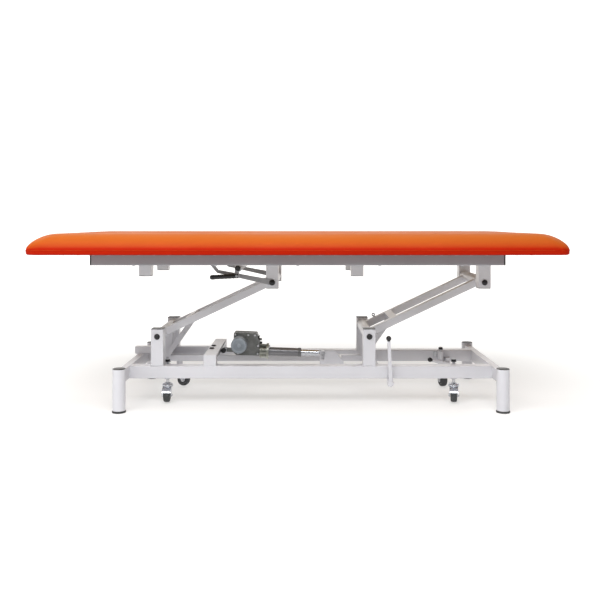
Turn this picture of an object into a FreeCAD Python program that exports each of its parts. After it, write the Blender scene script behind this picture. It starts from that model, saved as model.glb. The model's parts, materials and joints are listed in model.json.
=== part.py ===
import FreeCAD, Part
import os
import re
import Sketcher

# Height-adjustable examination couch, in millimetres. The origin is on the floor under the middle of the
# pad: +X runs along the couch towards its right-hand end, +Y away from the near side, +Z up.

Vector = FreeCAD.Vector
DIMENSIONS = {
    # pad, its board and the frame under them
    "pad_length": (2016, "pad, end to end"),
    "pad_width": (1000, "pad, side to side"),
    "pad_height": (83, "pad, bottom to top"),
    "pad_corner": (50, "pad corner radius, seen from above"),
    "pad_top_round": (46, "rounding of the pad's upper edge"),
    "pad_low_round": (10, "rounding of the pad's lower edge"),
    "board_inset": (22, "board edge behind the pad's edge"),
    "board_thick": (15, "plywood board"),
    "top_underside": (575, "underside of the upper frame above the floor"),
    "top_side": (40, "upper frame tube, height and width"),
    "top_length": (1532, "upper frame side rail without its end caps"),
    "top_rail_face": (443, "outer face of an upper side rail from the centre plane"),
    "rail_cap": (4.5, "head of the plug in an upper side rail"),
    "top_member": (50, "width of an upper cross member"),
    "top_end_member": (745, "end cross member from the middle"),
    "stay_member": (-345, "cross member over the stay hangers"),
    # tubes
    "tube_side": (50, "square tube of base, pillars and brackets"),
    "tube_wall": (2, "wall of all square tubes"),
    "cap_thick": (1.5, "head of a square plug"),
    "plug_depth": (10, "part of a plug that sits in its tube"),
    "plug_gap": (0.1, "gap round a plug"),
    # base
    "leg_left": (-692, "centre of the left legs"),
    "leg_right": (793, "centre of the right legs"),
    "leg_spread": (321, "leg centre from the centre plane"),
    "leg_radius": (25, "leg tube"),
    "leg_wall": (2.5, "leg tube wall"),
    "leg_top": (168, "top of the leg tube"),
    "foot_height": (8, "foot under a leg"),
    "foot_radius": (26.5, "foot under a leg"),
    "leg_cap": (2.5, "cap on a leg"),
    "rail_low": (108, "underside of the base rails"),
    "rail_spread": (187, "base rail centre from the centre plane"),
    "end_beam_width": (30, "end beams of the base, along the couch"),
    "cross_high": (130, "top of the flat base cross tubes"),
    "cross_thick": (20, "flat base cross tube, thickness"),
    "cross_shift": (30.5, "flat cross tube beyond its pillars"),
    # lift geometry
    "pivot_left": (-566.5, "lower pivot of the left arm"),
    "pivot_spacing": (852.5, "distance between the two arms"),
    "pivot_high": (275.5, "lower pivots above the floor"),
    "pillar_top": (305.5, "top of the pillar tube"),
    "arm_length": (511, "pivot to pivot"),
    "arm_angle": (25.2, "arm above the horizontal, degrees"),
    "arm_tube": (30, "arm side tube"),
    "arm_spread": (112, "arm side tube from the centre plane"),
    "arm_cross": (125, "arm cross tube from the lower pivot"),
    "torsion_radius": (22.5, "round tube at each pivot"),
    "torsion_wall": (4, "its wall"),
    "torsion_gap": (1.5, "side play between torsion tube and pillar"),
    "bush_long": (36, "pivot bush"),
    "bolt_radius": (8, "pivot bolt"),
    "run_gap": (0.05, "radial running clearance of a pivot"),
    "bolt_depth": (38, "pivot bolt inside the torsion tube"),
    "head_radius": (11.5, "domed bolt head"),
    "head_high": (8, "domed bolt head"),
    "bracket_low": (470, "lower end of a hanging bracket tube"),
    "bumper_low": (519.5, "lower end of a bumper post tube"),
    "lever_long": (129, "lower pivot to tie bar pin"),
    "lever_middle": (45, "lever and tie bar plane from the centre plane"),
    "lever_plate": (6, "lever cheek"),
    "lever_eye": (13, "rounding at the lever's end"),
    "brace_width": (14, "brace between lever and arm, across the couch"),
    "brace_thick": (20, "brace, thickness"),
    "brace_reach": (125, "upper end of the brace, to the right of the pivot"),
    "brace_rise": (44, "upper end of the brace, above the pivot"),
    "brace_foot": (16, "lower corner of the brace above the tie bar pin"),
    "brace_heel": (34, "its upper corner above the tie bar pin"),
    "tie_side": (25, "tie bar tube"),
    "tie_gap": (0.6, "side play between tie bar and lever cheek"),
    "tie_pin": (6, "tie bar pin radius"),
    "tie_pin_proud": (2, "tie bar pin beyond the lever cheeks"),
    # bridge and actuator
    "bridge_middle": (-355, "bridge over the base rails"),
    "bridge_top": (202, "top of the bridge"),
    "bridge_beam": (20, "thickness of the bridge beam"),
    "strut_side": (30, "strut from the bridge to the left end beam, height and width"),
    "strut_middle": (93, "its centre from the centre plane"),
    "strut_start": (-720, "its left end"),
    "bridge_bolt_back": (11, "bridge bolts to the left of the bridge's middle"),
    "bridge_bolt_spread": (34.5, "bridge bolts from the actuator's axis"),
    "bridge_bolt_radius": (10, "head of a bridge bolt"),
    "bridge_bolt_high": (4, "head of a bridge bolt"),
    "lug_drop": (3, "rear lugs' middle below the rear pivot"),
    "rear_head": (14, "head of the rear pin"),
    "drive_x": (-318, "rear pivot of the actuator"),
    "drive_y": (-20, "actuator axis from the centre plane"),
    "drive_high": (192, "rear pivot above the floor"),
    "drive_tilt": (2.04, "actuator slopes down to the right, degrees"),
    "drive_pin": (5, "actuator pins, radius"),
    "drive_reach": (422, "rear pivot to front pin"),
    "case_back": (42, "gearbox case, from the rear pivot"),
    "case_front": (153, "gearbox case, front face"),
    "case_low": (-16, "gearbox case under the axis"),
    "case_high": (78, "gearbox case over the axis"),
    "case_near": (-30, "gearbox case, near face"),
    "case_far": (30, "gearbox case, far face"),
    "case_bevel": (12, "bevel at the case's lower back corner"),
    "case_slope": (14, "case top shorter than its foot"),
    "case_round": (5, "rounding of the case"),
    "neck_lap": (4, "rear eye's neck inside the case"),
    "inlet_radius": (5, "cable inlet"),
    "inlet_long": (22, "cable inlet"),
    "inlet_in": (14, "cable inlet from the case's front and near faces"),
    "inlet_down": (26, "cable inlet below the case's top"),
    "motor_radius": (33.5, "motor can"),
    "motor_out": (62, "motor can beyond the case"),
    "motor_x": (70, "motor centre from the rear pivot"),
    "motor_high": (34, "motor centre above the axis"),
    "motor_lip": (4, "motor's end cover smaller than its can"),
    "motor_cover": (3, "thickness of that cover"),
    "flange_radius": (34, "ribbed front casting"),
    "flange_long": (38, "ribbed front casting"),
    "flange_disc": (9, "thickness of its disc"),
    "flange_rib": (5, "thickness of a rib"),
    "flange_turn": (15, "first rib from the upright, degrees"),
    "hub_wall": (5, "hub round the outer tube"),
    "sleeve_radius": (17.5, "outer tube of the spindle"),
    "sleeve_wall": (3, "its wall"),
    "sleeve_end": (328, "its open end from the rear pivot"),
    "rod_radius": (13.5, "push rod"),
    "rod_start": (250, "inner end of the push rod"),
    "rod_neck": (18, "end of the push rod to the front pin"),
    "eye_radius": (12, "rod end"),
    "eye_half": (8, "half the width of the rod end"),
    "clevis_plate": (6, "clevis cheek"),
    "clevis_gap": (1, "side play of the rod end"),
    "clevis_low": (45, "clevis below the front pin"),
    "clevis_high": (11, "clevis above the front pin"),
    "clevis_back": (13, "clevis to the left of the front pin"),
    "clevis_long": (88, "clevis to the right of the front pin"),
    "clevis_shoulder": (46, "end of its high part, right of the front pin"),
    "clevis_nose": (30, "its right end's upper corner below the front pin"),
    "foot_middle": (56, "block under the clevis, right of the front pin"),
    "foot_long": (50, "block under the clevis"),
    "pin_head": (4.5, "head of the front pin"),
    "pin_head_gap": (0.5, "front pin's heads from the clevis"),
    "pin_head_lip": (4, "heads of the front pin beyond its shank"),
    "slot_half": (6.5, "half the width of the clevis slot"),
    "slot_drop": (19, "length of the clevis slot below the pin"),
    # castors
    "castor_middle": (50.7, "middle between left and right castors"),
    "castor_reach": (586, "castor stem from that middle"),
    "castor_spread": (147, "castor stem from the centre plane"),
    "stem_radius": (6.5, "castor stem"),
    "stem_top": (176, "top of the stem nut"),
    "nut_radius": (10, "stem nut"),
    "nut_high": (8, "stem nut"),
    "guide_radius": (13.5, "sleeve that guides the stem"),
    "guide_low": (95, "its lower end"),
    "guide_high": (155, "its upper end"),
    "wheel_radius": (28, "castor wheel"),
    "wheel_width": (26, "castor wheel"),
    "wheel_clear": (3.5, "raised wheel above the floor"),
    "fork_trail": (20, "wheel centre behind the stem"),
    "fork_gap": (1.5, "side play of the wheel"),
    "fork_plate": (3, "fork cheek"),
    "fork_crown": (63, "underside of the fork crown"),
    "crown_high": (13, "height of the fork crown"),
    "crown_radius": (22.5, "fork crown"),
    "crown_front": (13, "fork cheek ahead of the stem"),
    "crown_back": (17, "fork cheek behind the stem"),
    "crown_lap": (4, "fork cheek inside the crown"),
    "hood_gap": (2, "wheel to the fork's hood"),
    "hood_thick": (2.5, "hood of the fork"),
    "hood_low": (46, "lower edge of the hood"),
    "axle_land": (8, "fork cheek each side of the axle"),
    "axle_drop": (6, "fork cheek above and below the axle"),
    "axle_radius": (4, "castor axle"),
    "axle_proud": (2, "castor axle beyond the cheeks"),
    "stem_head": (3, "flat head that holds the fork"),
    "stem_head_gap": (0.5, "that head below the fork crown"),
    "guide_lug": (20, "lug between guide and rail"),
    "turn_near_left": (92, "swivel of each castor, degrees"),
    "turn_near_right": (80, "swivel"),
    "turn_far_left": (170, "swivel"),
    "turn_far_right": (105, "swivel"),
    # castor levers
    "pedal_x": (369, "pivot of the near castor lever"),
    "pedal_y": (-235, "its plane"),
    "pedal_z": (93, "its height"),
    "pedal_long": (170, "pivot to the ball's neck"),
    "pedal_lean": (2.7, "lever leans to the left, degrees"),
    "pedal_width": (15, "lever bar"),
    "pedal_thick": (8, "lever bar"),
    "lever_pin": (30, "lever pin from the lever's middle"),
    "lever_bracket": (20, "width of a lever bracket"),
    "pedal_bracket": (28, "height of the near lever's bracket"),
    "bracket_gap": (3, "lever to its bracket"),
    "bracket_lap": (4, "near bracket beyond the rail's middle"),
    "catch_x": (668, "pivot of the far castor lever"),
    "catch_y": (126, "its plane"),
    "catch_z": (101, "its height"),
    "catch_long": (76, "pivot to the ball's neck"),
    "catch_lean": (14, "lever rises to the left, degrees"),
    "ball_radius": (10, "ball knob"),
    "neck_radius": (4, "spigot in the ball knob"),
    # stays and hand lever
    "stay_thick": (4, "stay strip"),
    "stay_high": (12, "stay strip"),
    "stay_x": (-325, "left end of a stay"),
    "stay_z": (538, "left end of a stay"),
    "grip_x": (-245, "hinge of the hand lever"),
    "grip_z": (521, "hinge of the hand lever"),
    "grip_y": (-229, "hand lever plane"),
    "grip_radius": (9.5, "hand lever grip"),
    "grip_long": (92, "hand lever grip"),
    "grip_lean": (3, "grip hangs down to the left, degrees"),
    "grip_root": (6, "grip's middle nearer than the hinge plane"),
    "root_long": (14, "block at the grip's root"),
    "root_wide": (10, "block at the grip's root"),
    "root_high": (18, "block at the grip's root"),
    "screw_radius": (3, "hinge pin of the hand lever and screw of the lock knob"),
    "knob_gap": (1, "lock knob to its clamp"),
    "knob_x": (-241, "lock knob"),
    "knob_z": (551, "lock knob"),
    "knob_radius": (11.5, "lock knob"),
    "knob_long": (16, "lock knob"),
}

document = FreeCAD.newDocument("examination_couch")
sheet = document.addObject("Spreadsheet::Sheet", "dims")
for row, (alias, (value, meaning)) in enumerate(DIMENSIONS.items(), start=1):
    sheet.set(f"A{row}", meaning)
    sheet.set(f"B{row}", str(value))
    sheet.setAlias(f"B{row}", alias)
document.recompute()

nodes = {}


def link(expression):
    """Turn words such as leg_radius in an expression into references to the sheet."""
    return re.sub(r"\b[a-z]+(?:_[a-z]+)+\b", lambda word: "dims." + word.group(0), str(expression))


def size(alias):
    """A driving dimension as a number."""
    return float(sheet.get(alias))


def bind(item, **sizes):
    for name, expression in sizes.items():
        item.setExpression(name, link(expression))


def place(item, position, axis=None, angle=0):
    """Put the item's own origin at a position and turn it about an axis by an angle in degrees."""
    if axis:
        item.Placement = FreeCAD.Placement(Vector(), FreeCAD.Rotation(Vector(*axis), 1))
        item.setExpression("Placement.Rotation.Angle", link(f"({angle}) * 1 deg"))
    for letter, expression in zip("xyz", position):
        item.setExpression(f"Placement.Base.{letter}", link(expression))
    return item


def node(item, name):
    """Register an item as a sub-part: its label names the node and its file."""
    item.Label = name
    nodes[name] = item
    return item


def block(centre, length, width, height):
    """A box given by its centre and its sizes along X, Y and Z."""
    box = document.addObject("Part::Box", "block")
    bind(box, Length=length, Width=width, Height=height)
    lows = [f"({middle}) - ({side}) / 2" for middle, side in zip(centre, (length, width, height))]
    return place(box, lows)


def cylinder(start, radius, height, along="z"):
    """A cylinder that starts at a point and runs along +X, +Y or +Z."""
    round_bar = document.addObject("Part::Cylinder", "round")
    bind(round_bar, Radius=radius, Height=height)
    turns = {"x": ((0, 1, 0), 90), "y": ((-1, 0, 0), 90), "z": (None, 0)}
    return place(round_bar, start, *turns[along])


def sphere(centre, radius):
    ball = document.addObject("Part::Sphere", "ball")
    bind(ball, Radius=radius)
    return place(ball, centre)


def cut(base, *tools):
    """The base less one or more tools."""
    result = document.addObject("Part::Cut", "cut")
    result.Base = base
    result.Tool = tools[0] if len(tools) == 1 else fuse(*tools)
    return result


def common(base, tool):
    result = document.addObject("Part::Common", "common")
    result.Base = base
    result.Tool = tool
    return result


def fuse(*items):
    result = document.addObject("Part::MultiFuse", "fuse")
    result.Shapes = list(items)
    result.Refine = True
    return result


def group(*items):
    """Identical pieces that stay separate solids of one sub-part."""
    result = document.addObject("Part::Compound", "group")
    result.Links = list(items)
    return result


def carried(item):
    """An item whose own placement stays, inside a compound that can be placed again."""
    return item if item.TypeId in ("Part::Compound", "Part::Cut", "Part::MultiFuse") else group(item)


def square_tube(centre, length, width, height, along):
    """A rectangular tube, its bore running along X, Y or Z."""
    sides = zip("xyz", (length, width, height))
    bore = [side if letter == along else f"({side}) - 2 * tube_wall" for letter, side in sides]
    return cut(block(centre, length, width, height), block(centre, *bore))


def round_tube(start, radius, wall, height, along="z"):
    return cut(
        cylinder(start, radius, height, along),
        cylinder(start, f"({radius}) - ({wall})", height, along),
    )


def new_sketch(body, role, name):
    """A sketch on one of the body's own origin planes."""
    plane = next(feature for feature in body.Origin.OriginFeatures if feature.Role == role)
    sketch = body.newObject("Sketcher::SketchObject", name)
    sketch.AttachmentSupport = [(plane, "")]
    sketch.MapMode = "FlatFace"
    return sketch


def outline(sketch, points):
    """A closed outline whose corners are bound to the sheet."""
    numbers = [[value_of(x), value_of(y)] for x, y in points]
    first = sketch.GeometryCount
    count = len(points)
    for index in range(count):
        start = Vector(*numbers[index], 0)
        end = Vector(*numbers[(index + 1) % count], 0)
        sketch.addGeometry(Part.LineSegment(start, end))
    for index in range(count):
        following = first + (index + 1) % count
        sketch.addConstraint(Sketcher.Constraint("Coincident", first + index, 2, following, 1))
    for index, point in enumerate(points):
        for kind, number, expression in zip(("DistanceX", "DistanceY"), numbers[index], point):
            datum = Sketcher.Constraint(kind, -1, 1, first + index, 1, number)
            index_of_datum = sketch.addConstraint(datum)
            name = f"{kind}_{first + index}"
            sketch.renameConstraint(index_of_datum, name)
            sketch.setExpression(f"Constraints.{name}", link(expression))


def value_of(expression):
    """The number that an expression over the sheet gives now."""
    return float(sheet.evalExpression(link(expression)))


def circle(sketch, centre, radius):
    """A circle whose centre and radius are bound to the sheet."""
    middle = Vector(value_of(centre[0]), value_of(centre[1]), 0)
    ring = sketch.addGeometry(Part.Circle(middle, Vector(0, 0, 1), value_of(radius)))
    data = (
        ("DistanceX", centre[0], (-1, 1, ring, 3)),
        ("DistanceY", centre[1], (-1, 1, ring, 3)),
        ("Radius", radius, (ring,)),
    )
    for kind, expression, targets in data:
        datum = Sketcher.Constraint(kind, *targets, value_of(expression))
        index_of_datum = sketch.addConstraint(datum)
        name = f"{kind}_circle_{ring}"
        sketch.renameConstraint(index_of_datum, name)
        sketch.setExpression(f"Constraints.{name}", link(expression))


def plate(points, thickness, holes=(), role="XZ_Plane"):
    """A body padded both ways from an outline, with round holes given as (centre, radius)."""
    body = document.addObject("PartDesign::Body", "plate")
    sketch = new_sketch(body, role, "outline")
    outline(sketch, points)
    for centre, radius in holes:
        circle(sketch, centre, radius)
    pad = body.newObject("PartDesign::Pad", "thickness")
    pad.Profile = sketch
    pad.SideType = "Symmetric"
    bind(pad, Length=thickness)
    sketch.Visibility = False
    return body


def round_edges(body, radius, chosen):
    """Fillet the body's tip along the edges that a test chooses."""
    document.recompute()
    tip = body.Tip
    names = [f"Edge{index}" for index, edge in enumerate(tip.Shape.Edges, start=1) if chosen(edge)]
    fillet = body.newObject("PartDesign::Fillet", "rounding")
    fillet.Base = (tip, names)
    bind(fillet, Radius=radius)
    return body


def is_upright(edge):
    low, high = edge.BoundBox.ZMin, edge.BoundBox.ZMax
    return high - low > 1 and edge.BoundBox.XLength < 0.01 and edge.BoundBox.YLength < 0.01


def is_level_at(height):
    return lambda edge: abs(edge.BoundBox.ZMin - height) < 0.01 and abs(edge.BoundBox.ZMax - height) < 0.01


def is_parallel_to_y(edge):
    return edge.BoundBox.XLength < 0.01 and edge.BoundBox.ZLength < 0.01


def plug(x, y, z, side, facing):
    """A square plug in a tube's end at height z: its head stands above (facing 1) or below (-1) z."""
    inner = f"({side}) - 2 * tube_wall - 2 * plug_gap"
    head = block((x, y, f"({z}) + {facing} * cap_thick / 2"), side, side, "cap_thick")
    shank = block((x, y, f"({z}) - {facing} * plug_depth / 2"), inner, inner, "plug_depth")
    return fuse(head, shank)


def domed_bolt(x, z, side, face, length, radius="bolt_radius", head="head_radius", dome="head_high"):
    """A bolt along Y whose domed head lies on a face at a distance from the centre plane on one side."""
    ball_radius = f"(({head})^2 + ({dome})^2) / (2 * ({dome}))"
    cap = common(
        cylinder((0, 0, 0), head, dome),
        sphere((0, 0, f"({dome}) - ({ball_radius})"), ball_radius),
    )
    shank = cylinder((0, 0, f"-({length})"), radius, length)
    bolt = fuse(cap, shank)
    return place(bolt, (x, f"{side} * ({face})", z), (1, 0, 0) if side < 0 else (-1, 0, 0), 90)


SIDES = {"near": -1, "far": 1}
ARMS = {"left": "pivot_left", "right": "(pivot_left + pivot_spacing)"}
RUN = "arm_length * cos(arm_angle * 1 deg)"
RISE = "arm_length * sin(arm_angle * 1 deg)"
RAIL_MIDDLE = "(rail_low + tube_side / 2)"
RAIL_TOP = "(rail_low + tube_side)"
BRACKET_FACE = "(rail_spread + tube_side / 2)"
CHEEK_FACE = "(eye_half + clevis_gap + clevis_plate)"


# ---- base frame --------------------------------------------------------------------------------------

def leg_places():
    return [(x, f"{side} * leg_spread") for x in ("leg_left", "leg_right") for side in SIDES.values()]


def make_legs():
    tubes = []
    caps = []
    feet = []
    height = "leg_top - foot_height"
    bore = "leg_radius - leg_wall - plug_gap"
    for x, y in leg_places():
        tubes.append(round_tube((x, y, "foot_height"), "leg_radius", "leg_wall", height))
        cap = cylinder((x, y, "leg_top"), "leg_radius", "leg_cap")
        caps.append(fuse(cap, cylinder((x, y, "leg_top - plug_depth"), bore, "plug_depth")))
        foot = cylinder((x, y, 0), "foot_radius", "foot_height")
        feet.append(fuse(foot, cylinder((x, y, "foot_height"), bore, "plug_depth")))
    node(group(*tubes), "legs")
    node(group(*caps), "leg_caps")
    node(group(*feet), "leg_feet")


def make_base_rails():
    length = "leg_right - leg_left - end_beam_width"
    middle = "(leg_right + leg_left) / 2"
    for name, side in SIDES.items():
        centre = (middle, f"{side} * rail_spread", RAIL_MIDDLE)
        node(square_tube(centre, length, "tube_side", "tube_side", "x"), f"base_rail_{name}")
    for name, x in (("left", "leg_left"), ("right", "leg_right")):
        beam = square_tube((x, 0, RAIL_MIDDLE), "end_beam_width", "2 * leg_spread", "tube_side", "y")
        legs = [cylinder((x, f"{side} * leg_spread", 0), "leg_radius", "leg_top") for side in SIDES.values()]
        node(cut(beam, *legs), f"end_beam_{name}")


def make_cross_tubes():
    width = "2 * rail_spread - tube_side"
    tubes = []
    for pivot, end in zip(ARMS.values(), (-1, 1)):
        centre = (f"{pivot} + {end} * cross_shift", 0, "cross_high - cross_thick / 2")
        tubes.append(square_tube(centre, "tube_side", width, "cross_thick", "y"))
    node(group(*tubes), "base_cross_tubes")


def make_pillars():
    tubes = []
    caps = []
    height = f"pillar_top - {RAIL_TOP}"
    for pivot in ARMS.values():
        for side in SIDES.values():
            y = f"{side} * rail_spread"
            centre = (pivot, y, f"(pillar_top + {RAIL_TOP}) / 2")
            tube = square_tube(centre, "tube_side", "tube_side", height, "z")
            start = (pivot, f"{y} - tube_side", "pivot_high")
            hole = cylinder(start, "bolt_radius + plug_gap", "2 * tube_side", "y")
            tubes.append(cut(tube, hole))
            caps.append(plug(pivot, y, "pillar_top", "tube_side", 1))
    node(group(*tubes), "pillars")
    node(group(*caps), "pillar_caps")


def make_bridge():
    low = "bridge_top - bridge_beam"
    beam = block(
        ("bridge_middle", 0, "bridge_top - bridge_beam / 2"),
        "tube_side", f"2 * {BRACKET_FACE}", "bridge_beam",
    )
    posts = []
    for side in SIDES.values():
        centre = ("bridge_middle", f"{side} * rail_spread", f"({low} + {RAIL_TOP}) / 2")
        posts.append(block(centre, "tube_side", "tube_side", f"{low} - {RAIL_TOP}"))
    face = "(bridge_middle - tube_side / 2)"
    centre = (f"({face} + strut_start) / 2", "strut_middle", f"{RAIL_TOP} + strut_side / 2")
    strut = square_tube(centre, f"{face} - strut_start", "strut_side", "strut_side", "x")
    node(fuse(beam, *posts, *rear_lugs(), strut), "bridge")


def rear_lugs():
    """Two lugs on the bridge that hold the actuator's rear pin."""
    face = "(bridge_middle + tube_side / 2)"
    lugs = []
    for side in SIDES.values():
        middle = f"drive_y + {side} * (eye_half + clevis_gap + clevis_plate / 2)"
        centre = (f"({face} + drive_x + eye_radius) / 2", middle, "drive_high - lug_drop")
        lug = block(centre, f"drive_x + eye_radius - {face}", "clevis_plate", "eye_radius * 2")
        start = ("drive_x", f"{middle} - clevis_plate", "drive_high")
        lugs.append(cut(lug, cylinder(start, "drive_pin + run_gap", "2 * clevis_plate", "y")))
    return lugs


def make_base_bolts():
    bolts = []
    length = "tube_side + bolt_depth"
    for pivot in ARMS.values():
        for side in SIDES.values():
            bolts.append(domed_bolt(pivot, "pivot_high", side, BRACKET_FACE, length))
    for side in SIDES.values():
        spot = ("bridge_middle - bridge_bolt_back", f"drive_y + {side} * bridge_bolt_spread", "bridge_top")
        bolts.append(cylinder(spot, "bridge_bolt_radius", "bridge_bolt_high"))
    start = ("drive_x", f"drive_y - {CHEEK_FACE}", "drive_high")
    pin = cylinder(start, "drive_pin", f"2 * {CHEEK_FACE}", "y")
    start = ("drive_x", f"drive_y - {CHEEK_FACE} - rear_head", "drive_high")
    head = cylinder(start, "eye_radius - plug_gap", "rear_head", "y")
    bolts.append(fuse(pin, head))
    node(group(*bolts), "base_bolts")


# ---- arms ---------------------------------------------------------------------------------------------

def in_arm_frame(item, pivot):
    """Place a piece drawn along +X from the lower pivot."""
    return place(carried(item), (pivot, 0, "pivot_high"), (0, -1, 0), "arm_angle")


def make_arm(name, pivot):
    half = f"({BRACKET_FACE} - tube_side - torsion_gap)"
    ends = ("0", "arm_length")
    hollows = [
        round_tube((x, f"-{half}", 0), "torsion_radius", "torsion_wall", f"2 * {half}", "y") for x in ends
    ]
    node(in_arm_frame(group(*hollows), pivot), f"{name}_arm_torsion_tubes")

    bushes = []
    bore = "bolt_radius + run_gap"
    outer = "torsion_radius - torsion_wall - plug_gap"
    for x in ends:
        for side in SIDES.values():
            start = f"-{half}" if side < 0 else f"{half} - bush_long"
            bushes.append(cut(
                cylinder((x, start, 0), outer, "bush_long", "y"),
                cylinder((x, start, 0), bore, "bush_long", "y"),
            ))
    node(in_arm_frame(group(*bushes), pivot), f"{name}_arm_bushes")

    sides = []
    for side in SIDES.values():
        centre = ("arm_length / 2", f"{side} * arm_spread", 0)
        bar = square_tube(centre, "arm_length", "arm_tube", "arm_tube", "x")
        barrels = [cylinder((x, f"-{half}", 0), "torsion_radius", f"2 * {half}", "y") for x in ends]
        sides.append(cut(bar, *barrels))
    node(in_arm_frame(group(*sides), pivot), f"{name}_arm_side_tubes")
    node(make_lever(pivot), f"{name}_arm_lever")


def make_lever(pivot):
    """Two cheeks down to the tie bar, each braced up to a cross tube between the arm's side tubes."""
    cheeks = []
    eye_low = "(0 - lever_long)"
    corners = [
        ("0 - torsion_radius", "0"),
        ("0 - lever_eye", eye_low),
        ("0 - lever_eye * 0.6", f"{eye_low} - lever_eye * 0.8"),
        ("lever_eye * 0.6", f"{eye_low} - lever_eye * 0.8"),
        ("lever_eye", eye_low),
        ("torsion_radius", "0"),
    ]
    for side in SIDES.values():
        cheek = plate(corners, "lever_plate", [(("0", eye_low), "tie_pin + plug_gap")])
        offset = f"lever_middle + {side} * (tie_side / 2 + tie_gap + lever_plate / 2)"
        cheeks.append(place(cheek, (pivot, offset, "pivot_high")))

        brace = plate(
            [
                ("lever_eye", "brace_foot - lever_long"),
                ("brace_reach", "brace_rise"),
                ("brace_reach - 0.75 * brace_thick", "brace_rise + 0.66 * brace_thick"),
                ("0", "brace_heel - lever_long"),
            ],
            "brace_width",
        )
        offset = f"lever_middle + {side} * (tie_side / 2 + tie_gap + brace_width / 2)"
        cheeks.append(place(brace, (pivot, offset, "pivot_high")))

    span = "2 * arm_spread - arm_tube"
    cross = in_arm_frame(block(("arm_cross", 0, 0), "arm_tube", span, "arm_tube"), pivot)
    barrel = cylinder((pivot, "0 - rail_spread", "pivot_high"), "torsion_radius", "2 * rail_spread", "y")
    return cut(fuse(*cheeks, cross), barrel)


# ---- tie bar and its clevis ---------------------------------------------------------------------------

def make_tie_bar():
    high = "pivot_high - lever_long"
    length = "pivot_spacing + 2 * lever_eye"
    middle = "pivot_left + pivot_spacing / 2"
    bar = square_tube((middle, "lever_middle", high), length, "tie_side", "tie_side", "x")
    holes = [
        cylinder((pivot, "lever_middle - tie_side", high), "tie_pin + run_gap", "2 * tie_side", "y")
        for pivot in ARMS.values()
    ]
    node(cut(bar, *holes), "tie_bar")

    reach = "(tie_side / 2 + tie_gap + lever_plate + tie_pin_proud)"
    pins = [
        cylinder((pivot, f"lever_middle - {reach}", high), "tie_pin", f"2 * {reach}", "y")
        for pivot in ARMS.values()
    ]
    node(group(*pins), "tie_bar_pins")


def make_clevis():
    """Cheeks each side of the rod end, on a block that is welded to the tie bar."""
    front_x = "drive_x + drive_reach * cos(drive_tilt * 1 deg)"
    front_z = "drive_high - drive_reach * sin(drive_tilt * 1 deg)"
    corners = [
        ("0 - clevis_back", "0 - clevis_low"),
        ("0 + clevis_long", "0 - clevis_low"),
        ("0 + clevis_long", "0 - clevis_nose"),
        ("0 + clevis_shoulder", "0 + clevis_high"),
        ("0 - clevis_back", "0 + clevis_high"),
    ]
    slot = [
        ("0 - slot_half", "0 - slot_drop - drive_pin"),
        ("slot_half", "0 - slot_drop - drive_pin"),
        ("slot_half", "drive_pin + clevis_gap"),
        ("0 - slot_half", "drive_pin + clevis_gap"),
    ]
    pieces = []
    for side in SIDES.values():
        cheek = plate(corners, "clevis_plate")
        outline(cheek.Group[0], slot)
        offset = f"drive_y + {side} * (eye_half + clevis_gap + clevis_plate / 2)"
        pieces.append(place(cheek, (front_x, offset, front_z)))
    inner = "drive_y - eye_half - clevis_gap"
    outer = "lever_middle - tie_side / 2"
    centre = (f"{front_x} + foot_middle", f"({inner} + {outer}) / 2", "pivot_high - lever_long")
    pieces.append(block(centre, "0 + foot_long", f"{outer} - ({inner})", "tie_side"))
    node(fuse(*pieces), "clevis")


# ---- actuator -----------------------------------------------------------------------------------------

def in_drive_frame(item):
    """Place a piece drawn along +X from the actuator's rear pivot."""
    return place(carried(item), ("drive_x", "drive_y", "drive_high"), (0, 1, 0), "drive_tilt")


def make_gearbox():
    corners = [
        ("case_back", "case_low + case_bevel"),
        ("case_back + case_bevel", "case_low"),
        ("case_front", "case_low"),
        ("case_front", "flange_radius"),
        ("case_front - case_slope", "case_high"),
        ("case_back", "case_high"),
    ]
    case = round_edges(plate(corners, "case_far - case_near"), "0 + case_round", is_parallel_to_y)
    long = "(case_back + neck_lap)"
    neck = block((f"{long} / 2", 0, 0), long, "2 * eye_half", "eye_half * 2")
    eye = cylinder((0, "0 - eye_half", 0), "eye_radius - 2 * clevis_gap", "2 * eye_half", "y")
    start = ("case_front - inlet_in", "case_near + inlet_in", "case_high - inlet_down")
    inlet = cylinder(start, "inlet_radius", "inlet_long", "x")
    hole = cylinder((0, "0 - eye_radius", 0), "drive_pin + run_gap", "2 * eye_radius", "y")
    node(in_drive_frame(cut(fuse(case, neck, eye, inlet), hole)), "gearbox")


def make_motor():
    can = cylinder(("motor_x", "case_near - motor_out", "motor_high"), "motor_radius", "motor_out", "y")
    start = ("motor_x", "case_near - motor_out - motor_cover", "motor_high")
    cover = cylinder(start, "motor_radius - motor_lip", "motor_cover", "y")
    node(in_drive_frame(fuse(can, cover)), "motor")


def make_flange():
    """Ribbed casting between gearbox and outer tube."""
    disc = cylinder(("case_front + flange_long - flange_disc", 0, 0), "flange_radius", "flange_disc", "x")
    hub = cylinder(("case_front", 0, 0), "sleeve_radius + hub_wall", "flange_long", "x")
    ribs = []
    for turn in (0, 60, 120):
        centre = ("case_front + flange_long / 2", 0, 0)
        rib = block(centre, "flange_long", "flange_rib", "2 * (flange_radius - flange_rib / 2)")
        ribs.append(place(carried(rib), (0, 0, 0), (1, 0, 0), f"flange_turn + {turn}"))
    bore = cylinder(("case_front", 0, 0), "sleeve_radius + plug_gap", "flange_long", "x")
    node(in_drive_frame(cut(fuse(disc, hub, *ribs), bore)), "drive_flange")


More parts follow.
